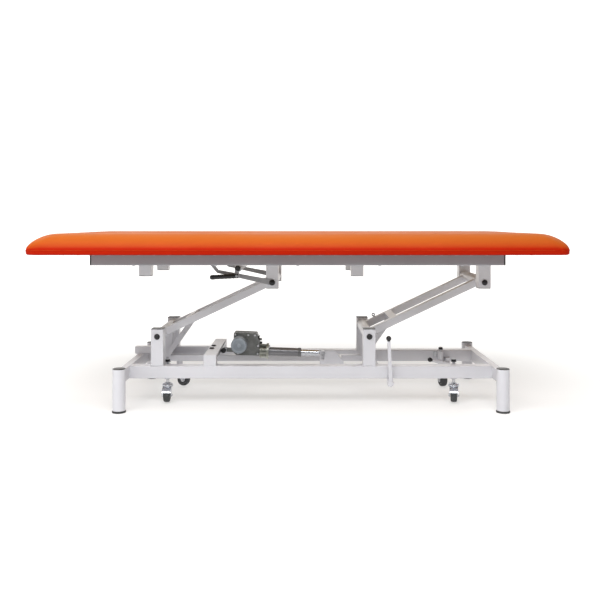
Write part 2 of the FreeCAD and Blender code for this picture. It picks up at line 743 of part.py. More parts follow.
def make_spindle():
    length = "sleeve_end - case_front"
    sleeve = round_tube(("case_front", 0, 0), "sleeve_radius", "sleeve_wall", length, "x")
    node(in_drive_frame(sleeve), "outer_tube")
    rod = cylinder(("rod_start", 0, 0), "rod_radius", "drive_reach - rod_neck - rod_start", "x")
    node(in_drive_frame(rod), "push_rod")

    eye = cylinder(("drive_reach", "0 - eye_half", 0), "eye_radius - 1", "2 * eye_half", "y")
    neck = block(("drive_reach - rod_neck / 2", 0, 0), "rod_neck", "2 * eye_half", "eye_radius")
    hole = cylinder(("drive_reach", "0 - eye_radius", 0), "drive_pin + plug_gap", "2 * eye_radius", "y")
    node(in_drive_frame(cut(fuse(eye, neck), hole)), "rod_end")

    reach = f"({CHEEK_FACE} + pin_head_gap)"
    pin = cylinder(("drive_reach", f"0 - {reach}", 0), "drive_pin", f"2 * {reach}", "y")
    heads = [
        cylinder(("drive_reach", start, 0), "drive_pin + pin_head_lip", "pin_head", "y")
        for start in (f"0 - {reach} - pin_head", reach)
    ]
    node(in_drive_frame(fuse(pin, *heads)), "front_pin")


# ---- upper frame and pad ------------------------------------------------------------------------------

def upper_pivots():
    return {name: (f"({pivot} + {RUN})", f"(pivot_high + {RISE})") for name, pivot in ARMS.items()}


def make_top_frame():
    middle = "top_underside + top_side / 2"
    caps = []
    for name, side in SIDES.items():
        y = f"{side} * (top_rail_face - top_side / 2)"
        node(square_tube((0, y, middle), "top_length", "top_side", "top_side", "x"), f"top_rail_{name}")
        for end in (-1, 1):
            inner = "top_side - 2 * tube_wall - 2 * plug_gap"
            spot = (f"{end} * (top_length + rail_cap) / 2", y, middle)
            head = block(spot, "0 + rail_cap", "top_side", "top_side")
            shank = block((f"{end} * (top_length - plug_depth) / 2", y, middle), "plug_depth", inner, inner)
            caps.append(fuse(head, shank))
    node(group(*caps), "top_rail_caps")

    span = "2 * (top_rail_face - top_side)"
    spots = ["0 - top_end_member", "stay_member", *(x for x, z in upper_pivots().values()), *bumper_spots()]
    members = [square_tube((x, 0, middle), "top_member", span, "top_side", "y") for x in spots]
    node(group(*members), "top_cross_members")


def bumper_spots():
    """A bumper post stands where each arm's own pillar cap meets it when the couch is right down."""
    return [f"({x} - arm_length)" for x, z in upper_pivots().values()]


def make_brackets():
    brackets = []
    posts = []
    plugs = []
    bolts = []
    for name, (x, z) in upper_pivots().items():
        for side in SIDES.values():
            y = f"{side} * rail_spread"
            height = "top_underside - bracket_low"
            centre = (x, y, "(top_underside + bracket_low) / 2")
            tube = square_tube(centre, "tube_side", "tube_side", height, "z")
            hole = cylinder((x, f"{y} - tube_side", z), "bolt_radius + plug_gap", "2 * tube_side", "y")
            brackets.append(cut(tube, hole))
            plugs.append(plug(x, y, "bracket_low", "tube_side", -1))
            face = f"{BRACKET_FACE} + stay_thick" if name == "left" else BRACKET_FACE
            length = "tube_side + bolt_depth + stay_thick" if name == "left" else "tube_side + bolt_depth"
            bolts.append(domed_bolt(x, z, side, face, length))
    for x in bumper_spots():
        for side in SIDES.values():
            y = f"{side} * rail_spread"
            height = "top_underside - bumper_low"
            centre = (x, y, "(top_underside + bumper_low) / 2")
            posts.append(square_tube(centre, "tube_side", "tube_side", height, "z"))
            plugs.append(plug(x, y, "bumper_low", "tube_side", -1))
    node(group(*brackets), "pivot_brackets")
    node(group(*posts), "bumper_posts")
    node(group(*plugs), "post_plugs")
    node(group(*bolts), "top_bolts")


def rectangle(length, width):
    """Corners of a centred rectangle."""
    corners = ((-1, -1), (1, -1), (1, 1), (-1, 1))
    return [(f"{across} * ({length}) / 2", f"{up} * ({width}) / 2") for across, up in corners]


def make_pad():
    underside = "(top_underside + top_side)"
    half = size("pad_height") / 2
    cushion = plate(rectangle("pad_length", "pad_width"), "pad_height", role="XY_Plane")
    round_edges(cushion, "pad_corner", is_upright)
    round_edges(cushion, "pad_top_round", is_level_at(half))
    round_edges(cushion, "pad_low_round", is_level_at(-half))
    place(cushion, (0, 0, f"{underside} + pad_height / 2"))

    length = "pad_length - 2 * board_inset"
    width = "pad_width - 2 * board_inset"
    boards = []
    for purpose in ("board", "recess"):
        sheet_piece = plate(rectangle(length, width), "board_thick", role="XY_Plane")
        round_edges(sheet_piece, "pad_corner - board_inset", is_upright)
        boards.append(place(sheet_piece, (0, 0, f"{underside} + board_thick / 2")))
    node(boards[0], "pad_board")
    node(cut(cushion, boards[1]), "pad")


# ---- stays, hand lever and lock knob ------------------------------------------------------------------

def make_stays():
    """A strip from each left pivot bolt to a hanger under the frame; drawn in the plane of the near side."""
    x, z = upper_pivots()["left"]
    half = "stay_high / 2"
    slope = f"(stay_z - ({z})) / (stay_x - ({x}))"
    strips = []
    for side in SIDES.values():
        y = f"{side} * ({BRACKET_FACE} + stay_thick / 2)"
        strip = plate(
            [
                ("stay_x", f"stay_z - {half}"),
                (x, f"{z} - head_radius"),
                (f"{x} + head_radius", z),
                (x, f"{z} + head_radius"),
                ("stay_x + 6", f"stay_z + {half}"),
                ("stay_x - 19", "top_underside"),
                ("stay_x - 37", "top_underside"),
            ],
            "stay_thick",
            [((x, z), "bolt_radius + plug_gap")],
        )
        strips.append(place(strip, (0, y, 0)))
    node(group(*strips), "stay_strips")

    face = f"({BRACKET_FACE} + stay_thick)"
    clamp = plate(
        [
            ("grip_x - 9", "grip_z - 10"),
            ("grip_x + 9", "grip_z - 10"),
            ("grip_x + 9", "grip_z + 15"),
            ("grip_x + 42", "grip_z + 40"),
            ("grip_x - 9", "grip_z + 42"),
        ],
        "stay_thick",
        [((x, z), "screw_radius + run_gap") for x, z in (("grip_x", "grip_z"), ("knob_x", "knob_z"))],
    )
    node(place(clamp, (0, f"0 - {face} - stay_thick / 2", 0)), "handle_clamp")


def make_hand_lever():
    face = f"({BRACKET_FACE} + 2 * stay_thick)"
    far_end = "0 - grip_long - grip_root"
    bar = cylinder((far_end, 0, 0), "grip_radius", "grip_long", "x")
    end = sphere((far_end, 0, 0), "grip_radius")
    root = block((0, 0, 0), "0 + root_long", "0 + root_wide", "0 + root_high")
    pin = cylinder((0, 0, 0), "screw_radius", f"grip_root - grip_y - {face} + stay_thick - knob_gap", "y")
    spot = ("grip_x", "grip_y - grip_root", "grip_z")
    lever = place(fuse(bar, end, root, pin), spot, (0, -1, 0), "grip_lean")
    node(lever, "hand_lever")

    start = f"0 - {face} - knob_gap - knob_long"
    disc = cylinder(("knob_x", start, "knob_z"), "knob_radius", "knob_long", "y")
    screw = cylinder(("knob_x", start, "knob_z"), "screw_radius", "knob_long + knob_gap + stay_thick", "y")
    node(fuse(disc, screw), "lock_knob")


# ---- castors and their levers -------------------------------------------------------------------------

def castor_places():
    """Name, stem position and swivel of each castor."""
    for side_name, side in SIDES.items():
        for end_name, end in (("left", -1), ("right", 1)):
            x = f"(castor_middle + {end} * castor_reach)"
            yield f"{side_name}_{end_name}", x, f"({side} * castor_spread)", side


def make_castor_guides():
    guides = []
    height = "guide_high - guide_low"
    for name, x, y, side in castor_places():
        sleeve = cylinder((x, y, "guide_low"), "guide_radius", height)
        edge = f"{side} * (rail_spread - tube_side / 2)"
        centre = (x, f"({y} + {edge}) / 2", "(rail_low + guide_high) / 2")
        lug = block(centre, "0 + guide_lug", f"{side} * ({edge} - {y})", "guide_high - rail_low")
        bore = cylinder((x, y, "guide_low"), "stem_radius + run_gap", height)
        guides.append(cut(fuse(sleeve, lug), bore))
    node(group(*guides), "castor_guides")


def make_castor_stems():
    """Each side's two stems with their nuts and the flat heads that the forks turn on."""
    for side_name in SIDES:
        stems = []
        for name, x, y, side in castor_places():
            if name.startswith(side_name):
                low = "fork_crown - stem_head_gap - stem_head"
                shank = cylinder((x, y, low), "stem_radius", f"stem_top - ({low})")
                nut = cylinder((x, y, "stem_top - nut_high"), "nut_radius", "nut_high")
                head = cylinder((x, y, low), "crown_radius - crown_front", "stem_head")
                stems.append(fuse(shank, nut, head))
        node(group(*stems), f"castor_stems_{side_name}")


def make_castor(name, x, y):
    """A swivel fork and its wheel, drawn with the wheel trailing along -X and then turned."""
    axle_z = "(wheel_radius + wheel_clear)"
    half = "(wheel_width / 2 + fork_gap)"
    crown = cylinder((0, 0, "fork_crown"), "crown_radius", "crown_high")
    cheeks = []
    for side in SIDES.values():
        cheek = plate(
            [
                ("0 - fork_trail - axle_land", f"{axle_z} - axle_drop"),
                ("axle_land - fork_trail", f"{axle_z} - axle_drop"),
                ("0 + crown_front", "0 + fork_crown"),
                ("0 + crown_front", "fork_crown + crown_lap"),
                ("0 - crown_back", "fork_crown + crown_lap"),
                ("0 - fork_trail - axle_land", f"{axle_z} + axle_drop"),
            ],
            "fork_plate",
        )
        cheeks.append(place(cheek, (0, f"{side} * ({half} + fork_plate / 2)", 0)))
    reach = f"({half} + fork_plate + axle_proud)"
    axle = cylinder(("0 - fork_trail", f"0 - {reach}", axle_z), "0 + axle_radius", f"2 * {reach}", "y")
    bore = cylinder((0, 0, "fork_crown - crown_lap"), "stem_radius + run_gap", "crown_high + 2 * crown_lap")
    width = f"2 * ({half} + fork_plate)"
    inner = "wheel_radius + hood_gap"
    ring = cut(
        cylinder(("0 - fork_trail", f"0 - ({width}) / 2", axle_z), f"{inner} + hood_thick", width, "y"),
        cylinder(("0 - fork_trail", f"0 - {width}", axle_z), inner, f"2 * {width}", "y"),
    )
    length = f"2 * ({inner} + hood_thick)"
    spot = (f"0 - crown_radius / 2 - ({length}) / 2", 0, "hood_low + wheel_radius / 2")
    hood = common(ring, block(spot, length, width, "0 + wheel_radius"))
    fork = cut(fuse(crown, *cheeks, axle, hood), bore)
    node(place(fork, (x, y, 0), (0, 0, 1), f"turn_{name}"), f"castor_fork_{name}")

    wheel = group(place(make_wheel(), ("0 - fork_trail", 0, axle_z)))
    node(place(wheel, (x, y, 0), (0, 0, 1), f"turn_{name}"), f"castor_wheel_{name}")


def make_wheel():
    """A wheel turned about Y, with a rounded tread and recessed faces round its hub."""
    body = document.addObject("PartDesign::Body", "wheel")
    section = new_sketch(body, "YZ_Plane", "section")
    outline(section, [
        ("0 - wheel_width / 2", "axle_radius + run_gap"),
        ("wheel_width / 2", "axle_radius + run_gap"),
        ("wheel_width / 2", "9"),
        ("wheel_width / 2 - 3", "10"),
        ("wheel_width / 2 - 3", "wheel_radius - 9"),
        ("wheel_width / 2", "wheel_radius - 7"),
        ("wheel_width / 2 - 1.5", "wheel_radius - 2"),
        ("wheel_width / 2 - 5", "wheel_radius"),
        ("5 - wheel_width / 2", "wheel_radius"),
        ("1.5 - wheel_width / 2", "wheel_radius - 2"),
        ("0 - wheel_width / 2", "wheel_radius - 7"),
        ("3 - wheel_width / 2", "wheel_radius - 9"),
        ("3 - wheel_width / 2", "10"),
        ("0 - wheel_width / 2", "9"),
    ])
    turning = body.newObject("PartDesign::Revolution", "turning")
    turning.Profile = section
    turning.ReferenceAxis = (section, ["H_Axis"])
    turning.Angle = 360
    return body


def lever_bar(long):
    """A flat bar standing up from its pivot, rounded below, with a spigot for the ball."""
    half = "pedal_width / 2"
    bar = plate(
        [
            (f"0 - {half}", "0"),
            (f"0 - {half} * 0.7", f"0 - {half} * 1.5"),
            ("0", f"0 - {half} * 1.9"),
            (f"{half} * 0.7", f"0 - {half} * 1.5"),
            (half, "0"),
            (f"{half} * 0.85", long),
            (f"0 - {half} * 0.85", long),
        ],
        "pedal_thick",
    )
    spigot = cylinder((0, 0, long), "neck_radius - 0.5", "ball_radius")
    return bar, spigot


def make_castor_levers():
    spots = {
        "near": ("pedal_x", "pedal_y", "pedal_z", "pedal_long", "pedal_lean"),
        "far": ("catch_x", "catch_y", "catch_z", "catch_long", "90 - catch_lean"),
    }
    for name, (x, y, z, long, lean) in spots.items():
        bar, spigot = lever_bar(long)
        pin = cylinder((0, 0, 0), "drive_pin", "0 + lever_pin", "y")
        node(place(fuse(bar, spigot, pin), (x, y, z), (0, -1, 0), lean), f"castor_lever_{name}")
        socket = cylinder((0, 0, long), "neck_radius - 0.5 + plug_gap", "ball_radius + plug_gap")
        side = "4 * ball_radius"
        ball = common(
            sphere((0, 0, f"{long} + ball_radius - 1"), "ball_radius"),
            block((0, 0, f"{long} + ({side}) / 2"), side, side, side),
        )
        node(place(cut(ball, socket), (x, y, z), (0, -1, 0), lean), f"lever_ball_{name}")

    outer = "(0 - pedal_y - pedal_thick / 2 - bracket_gap)"
    inner = "(rail_spread + bracket_lap)"
    centre = ("pedal_x", f"0 - ({outer} + {inner}) / 2", "rail_low - pedal_bracket / 2")
    near = block(centre, "0 + lever_bracket", f"{outer} - {inner}", "0 + pedal_bracket")
    start = ("pedal_x", f"0 - {outer}", "pedal_z")
    near = cut(near, cylinder(start, "drive_pin + run_gap", "lever_pin + bracket_lap", "y"))

    outer = "(catch_y + pedal_thick / 2 + bracket_gap)"
    inner = "(rail_spread - tube_side / 2)"
    low = "(catch_z - ball_radius - plug_gap)"
    high = "(rail_low + lever_bracket)"
    centre = ("catch_x", f"({outer} + {inner}) / 2", f"({low} + {high}) / 2")
    far = block(centre, "0 + lever_bracket", f"{inner} - {outer}", f"{high} - {low}")
    start = ("catch_x", outer, "catch_z")
    far = cut(far, cylinder(start, "drive_pin + run_gap", "0 + lever_pin", "y"))
    node(group(near, far), "lever_brackets")


# ---- the whole couch ----------------------------------------------------------------------------------

def make_couch():
    make_legs()
    make_base_rails()
    make_cross_tubes()
    make_pillars()
    make_bridge()
    make_base_bolts()
    for name, pivot in ARMS.items():
        make_arm(name, pivot)
    make_tie_bar()
    make_clevis()
    make_gearbox()
    make_motor()
    make_flange()
    make_spindle()
    make_top_frame()
    make_brackets()
    make_pad()
    make_stays()
    make_hand_lever()
    make_castor_guides()
    make_castor_stems()
    for name, x, y, side in castor_places():
        make_castor(name, x, y)
    make_castor_levers()


def check_and_export():
    document.recompute()
    failed = [item.Label for item in document.Objects if {"Invalid", "Error"} & set(item.State)]
    if failed:
        raise RuntimeError(f"objects that did not compute: {failed}")
    for name, item in nodes.items():
        if item.Shape.isNull() or not item.Shape.isValid() or not item.Shape.Solids:
            raise RuntimeError(f"{name} has no valid solid")
    os.makedirs("parts", exist_ok=True)
    for name, item in nodes.items():
        item.Shape.exportStep(f"parts/{name}.step")
    print(len(nodes), "sub-parts written")


make_couch()
check_and_export()
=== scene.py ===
import json
import math

import bmesh
import bpy
from mathutils import Matrix, Vector, noise


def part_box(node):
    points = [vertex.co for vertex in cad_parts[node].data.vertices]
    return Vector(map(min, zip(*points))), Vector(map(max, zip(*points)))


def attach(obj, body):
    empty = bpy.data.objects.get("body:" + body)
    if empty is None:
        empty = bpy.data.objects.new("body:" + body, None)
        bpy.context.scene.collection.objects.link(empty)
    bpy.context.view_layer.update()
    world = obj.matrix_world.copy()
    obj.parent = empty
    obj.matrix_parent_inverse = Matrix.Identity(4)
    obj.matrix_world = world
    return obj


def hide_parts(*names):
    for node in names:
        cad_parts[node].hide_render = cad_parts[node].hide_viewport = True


# Looks of the examination couch, in metres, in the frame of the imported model: +X along the couch, +Y away
# from the near side, +Z up, with the origin on the floor under the middle of the pad.

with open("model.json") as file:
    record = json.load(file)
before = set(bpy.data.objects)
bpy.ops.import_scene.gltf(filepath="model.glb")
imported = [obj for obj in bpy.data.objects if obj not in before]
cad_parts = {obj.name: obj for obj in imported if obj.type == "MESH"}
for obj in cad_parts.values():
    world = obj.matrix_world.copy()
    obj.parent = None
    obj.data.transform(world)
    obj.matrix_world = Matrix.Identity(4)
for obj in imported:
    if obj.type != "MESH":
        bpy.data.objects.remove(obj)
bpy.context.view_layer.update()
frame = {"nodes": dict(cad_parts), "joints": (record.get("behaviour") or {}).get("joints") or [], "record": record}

MM = 0.001
JOINTS = {joint["name"]: joint for joint in frame["joints"]}
SLOT_OF = {part["node"]: part["material_slot"] for part in frame["record"]["subparts"]}
BODY_OF = {name: body for body, names in frame["record"]["behaviour"]["bodies"].items() for name in names}
X, Y, Z = Vector((1, 0, 0)), Vector((0, 1, 0)), Vector((0, 0, 1))


# ---- materials ----------------------------------------------------------------------------------------

def new_finish(name, **values):
    """A Principled material whose uniform values sit on its own sockets."""
    made = bpy.data.materials.new(name)
    made.use_nodes = True
    shader = made.node_tree.nodes["Principled BSDF"]
    for socket, value in values.items():
        shader.inputs[socket.replace("_", " ")].default_value = value
    return made


def add_node(made, kind, inputs=None, **settings):
    added = made.node_tree.nodes.new(kind)
    for name, value in settings.items():
        setattr(added, name, value)
    for name, value in (inputs or {}).items():
        if isinstance(value, bpy.types.NodeSocket):
            made.node_tree.links.new(value, added.inputs[name])
        else:
            added.inputs[name].default_value = value
    return added


def drive(made, socket, source):
    """Let a node's output set a socket of the material's shader."""
    shader = made.node_tree.nodes["Principled BSDF"]
    made.node_tree.links.new(source, shader.inputs[socket])


def place_on_part(made, stretch=(1, 1, 1)):
    """Positions on the piece itself, so that the pattern moves with it."""
    coordinates = add_node(made, "ShaderNodeTexCoord").outputs["Object"]
    return add_node(made, "ShaderNodeMapping", {"Vector": coordinates, "Scale": stretch}).outputs["Vector"]


def patches(made, scale, detail=3.0, stretch=(1, 1, 1)):
    inputs = {"Vector": place_on_part(made, stretch), "Scale": scale, "Detail": detail}
    return add_node(made, "ShaderNodeTexNoise", inputs).outputs["Fac"]


def spread(made, source, low, high, start=0.35, end=0.65):
    inputs = {"Value": source, "From Min": start, "From Max": end, "To Min": low, "To Max": high}
    return add_node(made, "ShaderNodeMapRange", inputs).outputs["Result"]


def blend_colours(made, share, first, second):
    mixer = add_node(made, "ShaderNodeMix", data_type="RGBA")
    made.node_tree.links.new(share, mixer.inputs["Factor"])
    for socket, colour in (("A", first), ("B", second)):
        target = next(item for item in mixer.inputs if item.name == socket and item.type == "RGBA")
        if isinstance(colour, bpy.types.NodeSocket):
            made.node_tree.links.new(colour, target)
        else:
            target.default_value = (*colour, 1)
    return next(item for item in mixer.outputs if item.type == "RGBA")


def raise_surface(made, height, strength, depth):
    bump = add_node(made, "ShaderNodeBump", {"Height": height, "Strength": strength, "Distance": depth})
    drive(made, "Normal", bump.outputs["Normal"])


def edge_share(made, start, end):
    """1 on convex edges and 0 on flat and hollow places."""
    pointed = add_node(made, "ShaderNodeNewGeometry").outputs["Pointiness"]
    return spread(made, pointed, 0.0, 1.0, start, end)


def enamel(name, colour, shade, roughness):
    """Powder coat: faint clouds of tone and orange-peel texture."""
    made = new_finish(name, Coat_Weight=0.08, Coat_Roughness=0.25)
    clouds = spread(made, patches(made, 7.0), 0.0, 1.0)
    drive(made, "Base Color", blend_colours(made, clouds, colour, shade))
    drive(made, "Roughness", spread(made, clouds, roughness - 0.05, roughness + 0.07, 0.0, 1.0))
    raise_surface(made, patches(made, 750.0, 1.0), 0.10, 0.3 * MM)
    return made


def plastic(name, colour, roughness, grain=900.0):
    """Moulded plastic: fine spark-eroded grain and faint scuffs."""
    made = new_finish(name)
    lighter = tuple(min(1.0, part * 1.5 + 0.012) for part in colour)
    scuffs = spread(made, patches(made, 30.0, 6.0, (1, 1, 3)), 0.0, 0.7, 0.52, 0.72)
    drive(made, "Base Color", blend_colours(made, scuffs, colour, lighter))
    drive(made, "Roughness", spread(made, patches(made, 45.0), roughness - 0.06, roughness + 0.10))
    raise_surface(made, patches(made, grain, 1.0), 0.18, 0.15 * MM)
    return made


def bare_metal(name, colour, dark, roughness, stretch=(1, 1, 1), scale=90.0):
    """Bare or plated metal with drawn lines or a mottled skin."""
    made = new_finish(name, Metallic=1.0)
    lines = spread(made, patches(made, scale, 5.0, stretch), 0.0, 1.0)
    drive(made, "Base Color", blend_colours(made, lines, colour, dark))
    drive(made, "Roughness", spread(made, lines, roughness, roughness + 0.14, 0.0, 1.0))
    raise_surface(made, patches(made, scale * 4, 2.0, stretch), 0.08, 0.1 * MM)
    return made


def cast_metal(name, colour, dark, roughness, metallic=0.6):
    """Die-cast aluminium: sandy skin, darker in its hollows."""
    made = new_finish(name, Metallic=metallic)
    tone = blend_colours(made, spread(made, patches(made, 35.0, 6.0), 0.0, 1.0), colour, dark)
    hollows = edge_share(made, 0.50, 0.40)
    drive(made, "Base Color", blend_colours(made, hollows, tone, tuple(part * 0.45 for part in dark)))
    drive(made, "Roughness", spread(made, patches(made, 70.0), roughness - 0.06, roughness + 0.12))
    raise_surface(made, patches(made, 520.0, 3.0), 0.30, 0.35 * MM)
    return made


def vinyl():
    """Upholstery vinyl: pebbled grain, and painted top light: the side a deeper red-orange, the upward-facing top a
    paler orange.
    """
    made = new_finish(
        "orange_vinyl", Specular_IOR_Level=0.05,
    )
    upward = add_node(made, "ShaderNodeSeparateXYZ", {
        "Vector": add_node(made, "ShaderNodeNewGeometry").outputs["Normal"],
    }).outputs["Z"]
    # painted top light: the colour turns from the red-orange side to a paler orange as the surface faces up,
    # standing in for light from above
    painted_top_light = spread(made, upward, 0.0, 1.0, 0.25, 0.96)
    clouds = spread(made, patches(made, 4.0, 2.0), 0.0, 0.35)
    side = blend_colours(made, clouds, (0.40, 0.012, 0.0008), (0.37, 0.010, 0.0006))
    top = blend_colours(made, clouds, (0.50, 0.120, 0.016), (0.47, 0.108, 0.014))
    drive(made, "Base Color", blend_colours(made, painted_top_light, side, top))
    drive(made, "Roughness", spread(made, clouds, 0.46, 0.56, 0.0, 0.35))
    cells = add_node(
        made, "ShaderNodeTexVoronoi", {"Vector": place_on_part(made), "Scale": 620.0, "Randomness": 0.9},
    ).outputs["Distance"]
    raise_surface(made, cells, 0.25, 0.35 * MM)
    return made


def birch_ply():
    made = new_finish("birch_plywood")
    rings = patches(made, 9.0, 6.0, (1, 9, 9))
    drive(made, "Base Color", blend_colours(made, spread(made, rings, 0.0, 1.0), (0.60, 0.45, 0.28), (0.46, 0.31, 0.17)))
    drive(made, "Roughness", spread(made, rings, 0.62, 0.78))
    raise_surface(made, patches(made, 60.0, 4.0, (1, 14, 14)), 0.2, 0.3 * MM)
    return made


FINISHES = {
    "vinyl": vinyl(),
    "plywood": birch_ply(),
    "white_enamel": enamel("white_powder_coat", (0.64, 0.64, 0.675), (0.61, 0.61, 0.645), 0.36),
    "silver_enamel": enamel("silver_powder_coat", (0.29, 0.29, 0.305), (0.265, 0.265, 0.28), 0.42),
    "black_plastic": plastic("black_plastic", (0.012, 0.012, 0.014), 0.36),
    "dark_plastic": plastic("grey_plastic", (0.13, 0.13, 0.135), 0.46),
    "black_bolt": plastic("black_bolt_caps", (0.005, 0.005, 0.007), 0.42),
    "dark_rubber": plastic("dark_rubber", (0.035, 0.035, 0.036), 0.62, 500.0),
    "bush_plastic": plastic("bush_plastic", (0.62, 0.61, 0.56), 0.5),
    "zinc_steel": bare_metal("zinc_plate", (0.60, 0.60, 0.62), (0.44, 0.45, 0.47), 0.26),
    "grey_casting": cast_metal("grey_casting", (0.20, 0.205, 0.20), (0.14, 0.145, 0.14), 0.46, 0.25),
    "motor_shell": cast_metal("motor_shell", (0.30, 0.335, 0.37), (0.25, 0.28, 0.315), 0.36, 0.45),
    "raw_casting": cast_metal("raw_casting", (0.56, 0.57, 0.53), (0.30, 0.31, 0.27), 0.36, 0.8),
    "dark_tube": bare_metal("dark_tube", (0.27, 0.27, 0.285), (0.20, 0.20, 0.21), 0.34, (0.05, 1, 1)),
    "bright_chrome": bare_metal("chrome_plate", (0.66, 0.68, 0.72), (0.55, 0.57, 0.61), 0.16),
    "grey_tyre": plastic("tyre_rubber", (0.042, 0.044, 0.046), 0.60, 420.0),
}


# ---- mesh helpers -------------------------------------------------------------------------------------

WELD = 0.02 * MM
FLAT = math.radians(0.6)
SHARP = math.radians(34)


def cad_shape(name):
    """A CAD node's mesh with its seams closed and its flat faces joined."""
    shape = bmesh.new()
    shape.from_mesh(frame["nodes"][name].data)
    bmesh.ops.remove_doubles(shape, verts=shape.verts, dist=WELD)
    bmesh.ops.dissolve_limit(shape, angle_limit=FLAT, verts=shape.verts, edges=shape.edges)
    return shape


def solids_of(shape):
    """The shape's loose parts, each as a list of positions."""
    left = set(shape.verts)
    found = []
    while left:
        stack = [left.pop()]
        members = []
        while stack:
            corner = stack.pop()
            members.append(corner.co.copy())
            for edge in corner.link_edges:
                other = edge.other_vert(corner)
                if other in left:
                    left.remove(other)
                    stack.append(other)
        found.append(members)
    return sorted(found, key=lambda points: tuple(round(value, 4) for value in box_of(points)[0]))


def box_of(points):
    low = Vector([min(point[axis] for point in points) for axis in range(3)])
    high = Vector([max(point[axis] for point in points) for axis in range(3)])
    return low, high


def boxes_in(name):
    """The box of each solid of a CAD node."""
    shape = cad_shape(name)
    boxes = [box_of(points) for points in solids_of(shape)]
    shape.free()
    return boxes


def closed_tubes(name):
    """The outer form of each of a node's tubes, closed at its ends."""
    shape = cad_shape(name)
    tubes = bmesh.new()
    for points in solids_of(shape):
        corners = [tubes.verts.new(point) for point in points]
        result = bmesh.ops.convex_hull(tubes, input=corners)
        spare = {item for item in result["geom_interior"] if isinstance(item, bmesh.types.BMVert)}
        bmesh.ops.delete(tubes, geom=list(spare), context="VERTS")
    shape.free()
    bmesh.ops.dissolve_limit(tubes, angle_limit=FLAT, verts=tubes.verts, edges=tubes.edges)
    return tubes


def round_off(shape, width, segments=3, shortest=0.0):
    """Round the sharp edges of a shape."""
    shape.normal_update()
    sharp = [
        edge for edge in shape.edges
        if len(edge.link_faces) == 2 and edge.calc_face_angle(0) > SHARP and edge.calc_length() > shortest
    ]
    bmesh.ops.bevel(
        shape, geom=sharp, offset=width, offset_type="OFFSET", segments=segments, profile=0.5,
        affect="EDGES", clamp_overlap=True, miter_outer="ARC",
    )
    return shape


def sideways(axis):
    """Two directions at right angles to an axis and to each other."""
    along = Vector(axis).normalized()
    first = along.cross(Z if abs(along.z) < 0.9 else X).normalized()
    return along, first, along.cross(first).normalized()


def add_rings(shape, rings, closed_ends=True, loop=False):
    """Join rings of positions, one after another, with faces."""
    rows = [[shape.verts.new(point) for point in ring] for ring in rings]
    pairs = list(zip(rows, rows[1:]))
    if loop:
        pairs.append((rows[-1], rows[0]))
    for first, second in pairs:
        count = len(first)
        for index in range(count):
            following = (index + 1) % count
            shape.faces.new((first[index], first[following], second[following], second[index]))
    if closed_ends and not loop:
        shape.faces.new(list(reversed(rows[0])))
        shape.faces.new(rows[-1])
    return shape


def add_turned(shape, profile, centre, axis, steps=48, lobes=0, wave=0.0):
    """A turned form: profile points are (radius, distance along the axis) in millimetres."""
    along, first, second = sideways(axis)
    rings = []
    for radius, distance in profile:
        ring = []
        for step in range(steps):
            angle = math.tau * step / steps
            reach = radius * MM * (1 + wave * math.cos(lobes * angle))
            across = first * math.cos(angle) + second * math.sin(angle)
            ring.append(Vector(centre) + along * (distance * MM) + across * reach)
        rings.append(ring)
    return add_rings(shape, rings)


def rounded_outline(half_u, half_v, corner, steps=6):
    """Points round a rectangle with rounded corners."""
    points = []
    for quarter, (u, v) in enumerate(((1, 1), (-1, 1), (-1, -1), (1, -1))):
        for step in range(steps + 1):
            angle = math.pi / 2 * (quarter + step / steps)
            points.append((
                u * (half_u - corner) + corner * math.cos(angle),
                v * (half_v - corner) + corner * math.sin(angle),
            ))
    return points


def add_stacked(shape, layers, centre, axis):
    """Rounded rectangles on top of each other: (half length, half width, corner, distance), in mm."""
    along, first, second = sideways(axis)
    rings = []
    for half_u, half_v, corner, distance in layers:
        rings.append([
            Vector(centre) + (first * u + second * v + along * distance) * MM
            for u, v in rounded_outline(half_u, half_v, corner)
        ])
    return add_rings(shape, rings)


def add_bar(shape, path, radius, sides=8, ripple=0.0, loop=False):
    """A round bar along a path; ripple makes it swell and shrink like a weld."""
    rings = []
    count = len(path)
    for index, point in enumerate(path):
        before = path[index - 1] if index or loop else point
        after = path[(index + 1) % count] if index + 1 < count or loop else point
        along, first, second = sideways(after - before)
        reach = radius * (1 + ripple * (1 if index % 2 else -1))
        rings.append([
            point + (first * math.cos(math.tau * side / sides) + second * math.sin(math.tau * side / sides)) * reach
            for side in range(sides)
        ])
    return add_rings(shape, rings, loop=loop)


def add_plate(shape, outline, origin, u, v, thickness):
    """A flat plate from an outline in millimetres in the directions u and v, thick both ways."""
    across = u.cross(v).normalized() * (thickness * MM / 2)
    rings = [
        [Vector(origin) + (u * a + v * b) * MM + side * across for a, b in outline]
        for side in (-1, 1)
    ]
    return add_rings(shape, rings)


def along_line(start, end, pitch):
    start, end = Vector(start), Vector(end)
    count = max(2, round((end - start).length / pitch) + 1)
    return [start.lerp(end, index / (count - 1)) for index in range(count)]


def show(name, shape, slot, body, nodes=(), finish=None, smooth=50):
    """Make a piece of a shape: it rides on a body and may stand for CAD nodes."""
    bmesh.ops.recalc_face_normals(shape, faces=shape.faces)
    mesh = bpy.data.meshes.new(name)
    shape.to_mesh(mesh)
    shape.free()
    mesh.shade_smooth()
    mesh.set_sharp_from_angle(angle=math.radians(smooth))
    mesh.materials.append(finish or FINISHES[slot])
    item = bpy.data.objects.new(name, mesh)
    bpy.context.scene.collection.objects.link(item)
    weighted = item.modifiers.new("even_normals", "WEIGHTED_NORMAL")
    weighted.keep_sharp = True
    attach(item, body)
    if nodes:
        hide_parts(*nodes)
    return item


def show_for(name, shape, node, **options):
    """A piece that stands for one CAD node, with its finish and body."""
    return show(name, shape, SLOT_OF[node], BODY_OF[node], (node,), **options)


# ---- frame tubes --------------------------------------------------------------------------------------

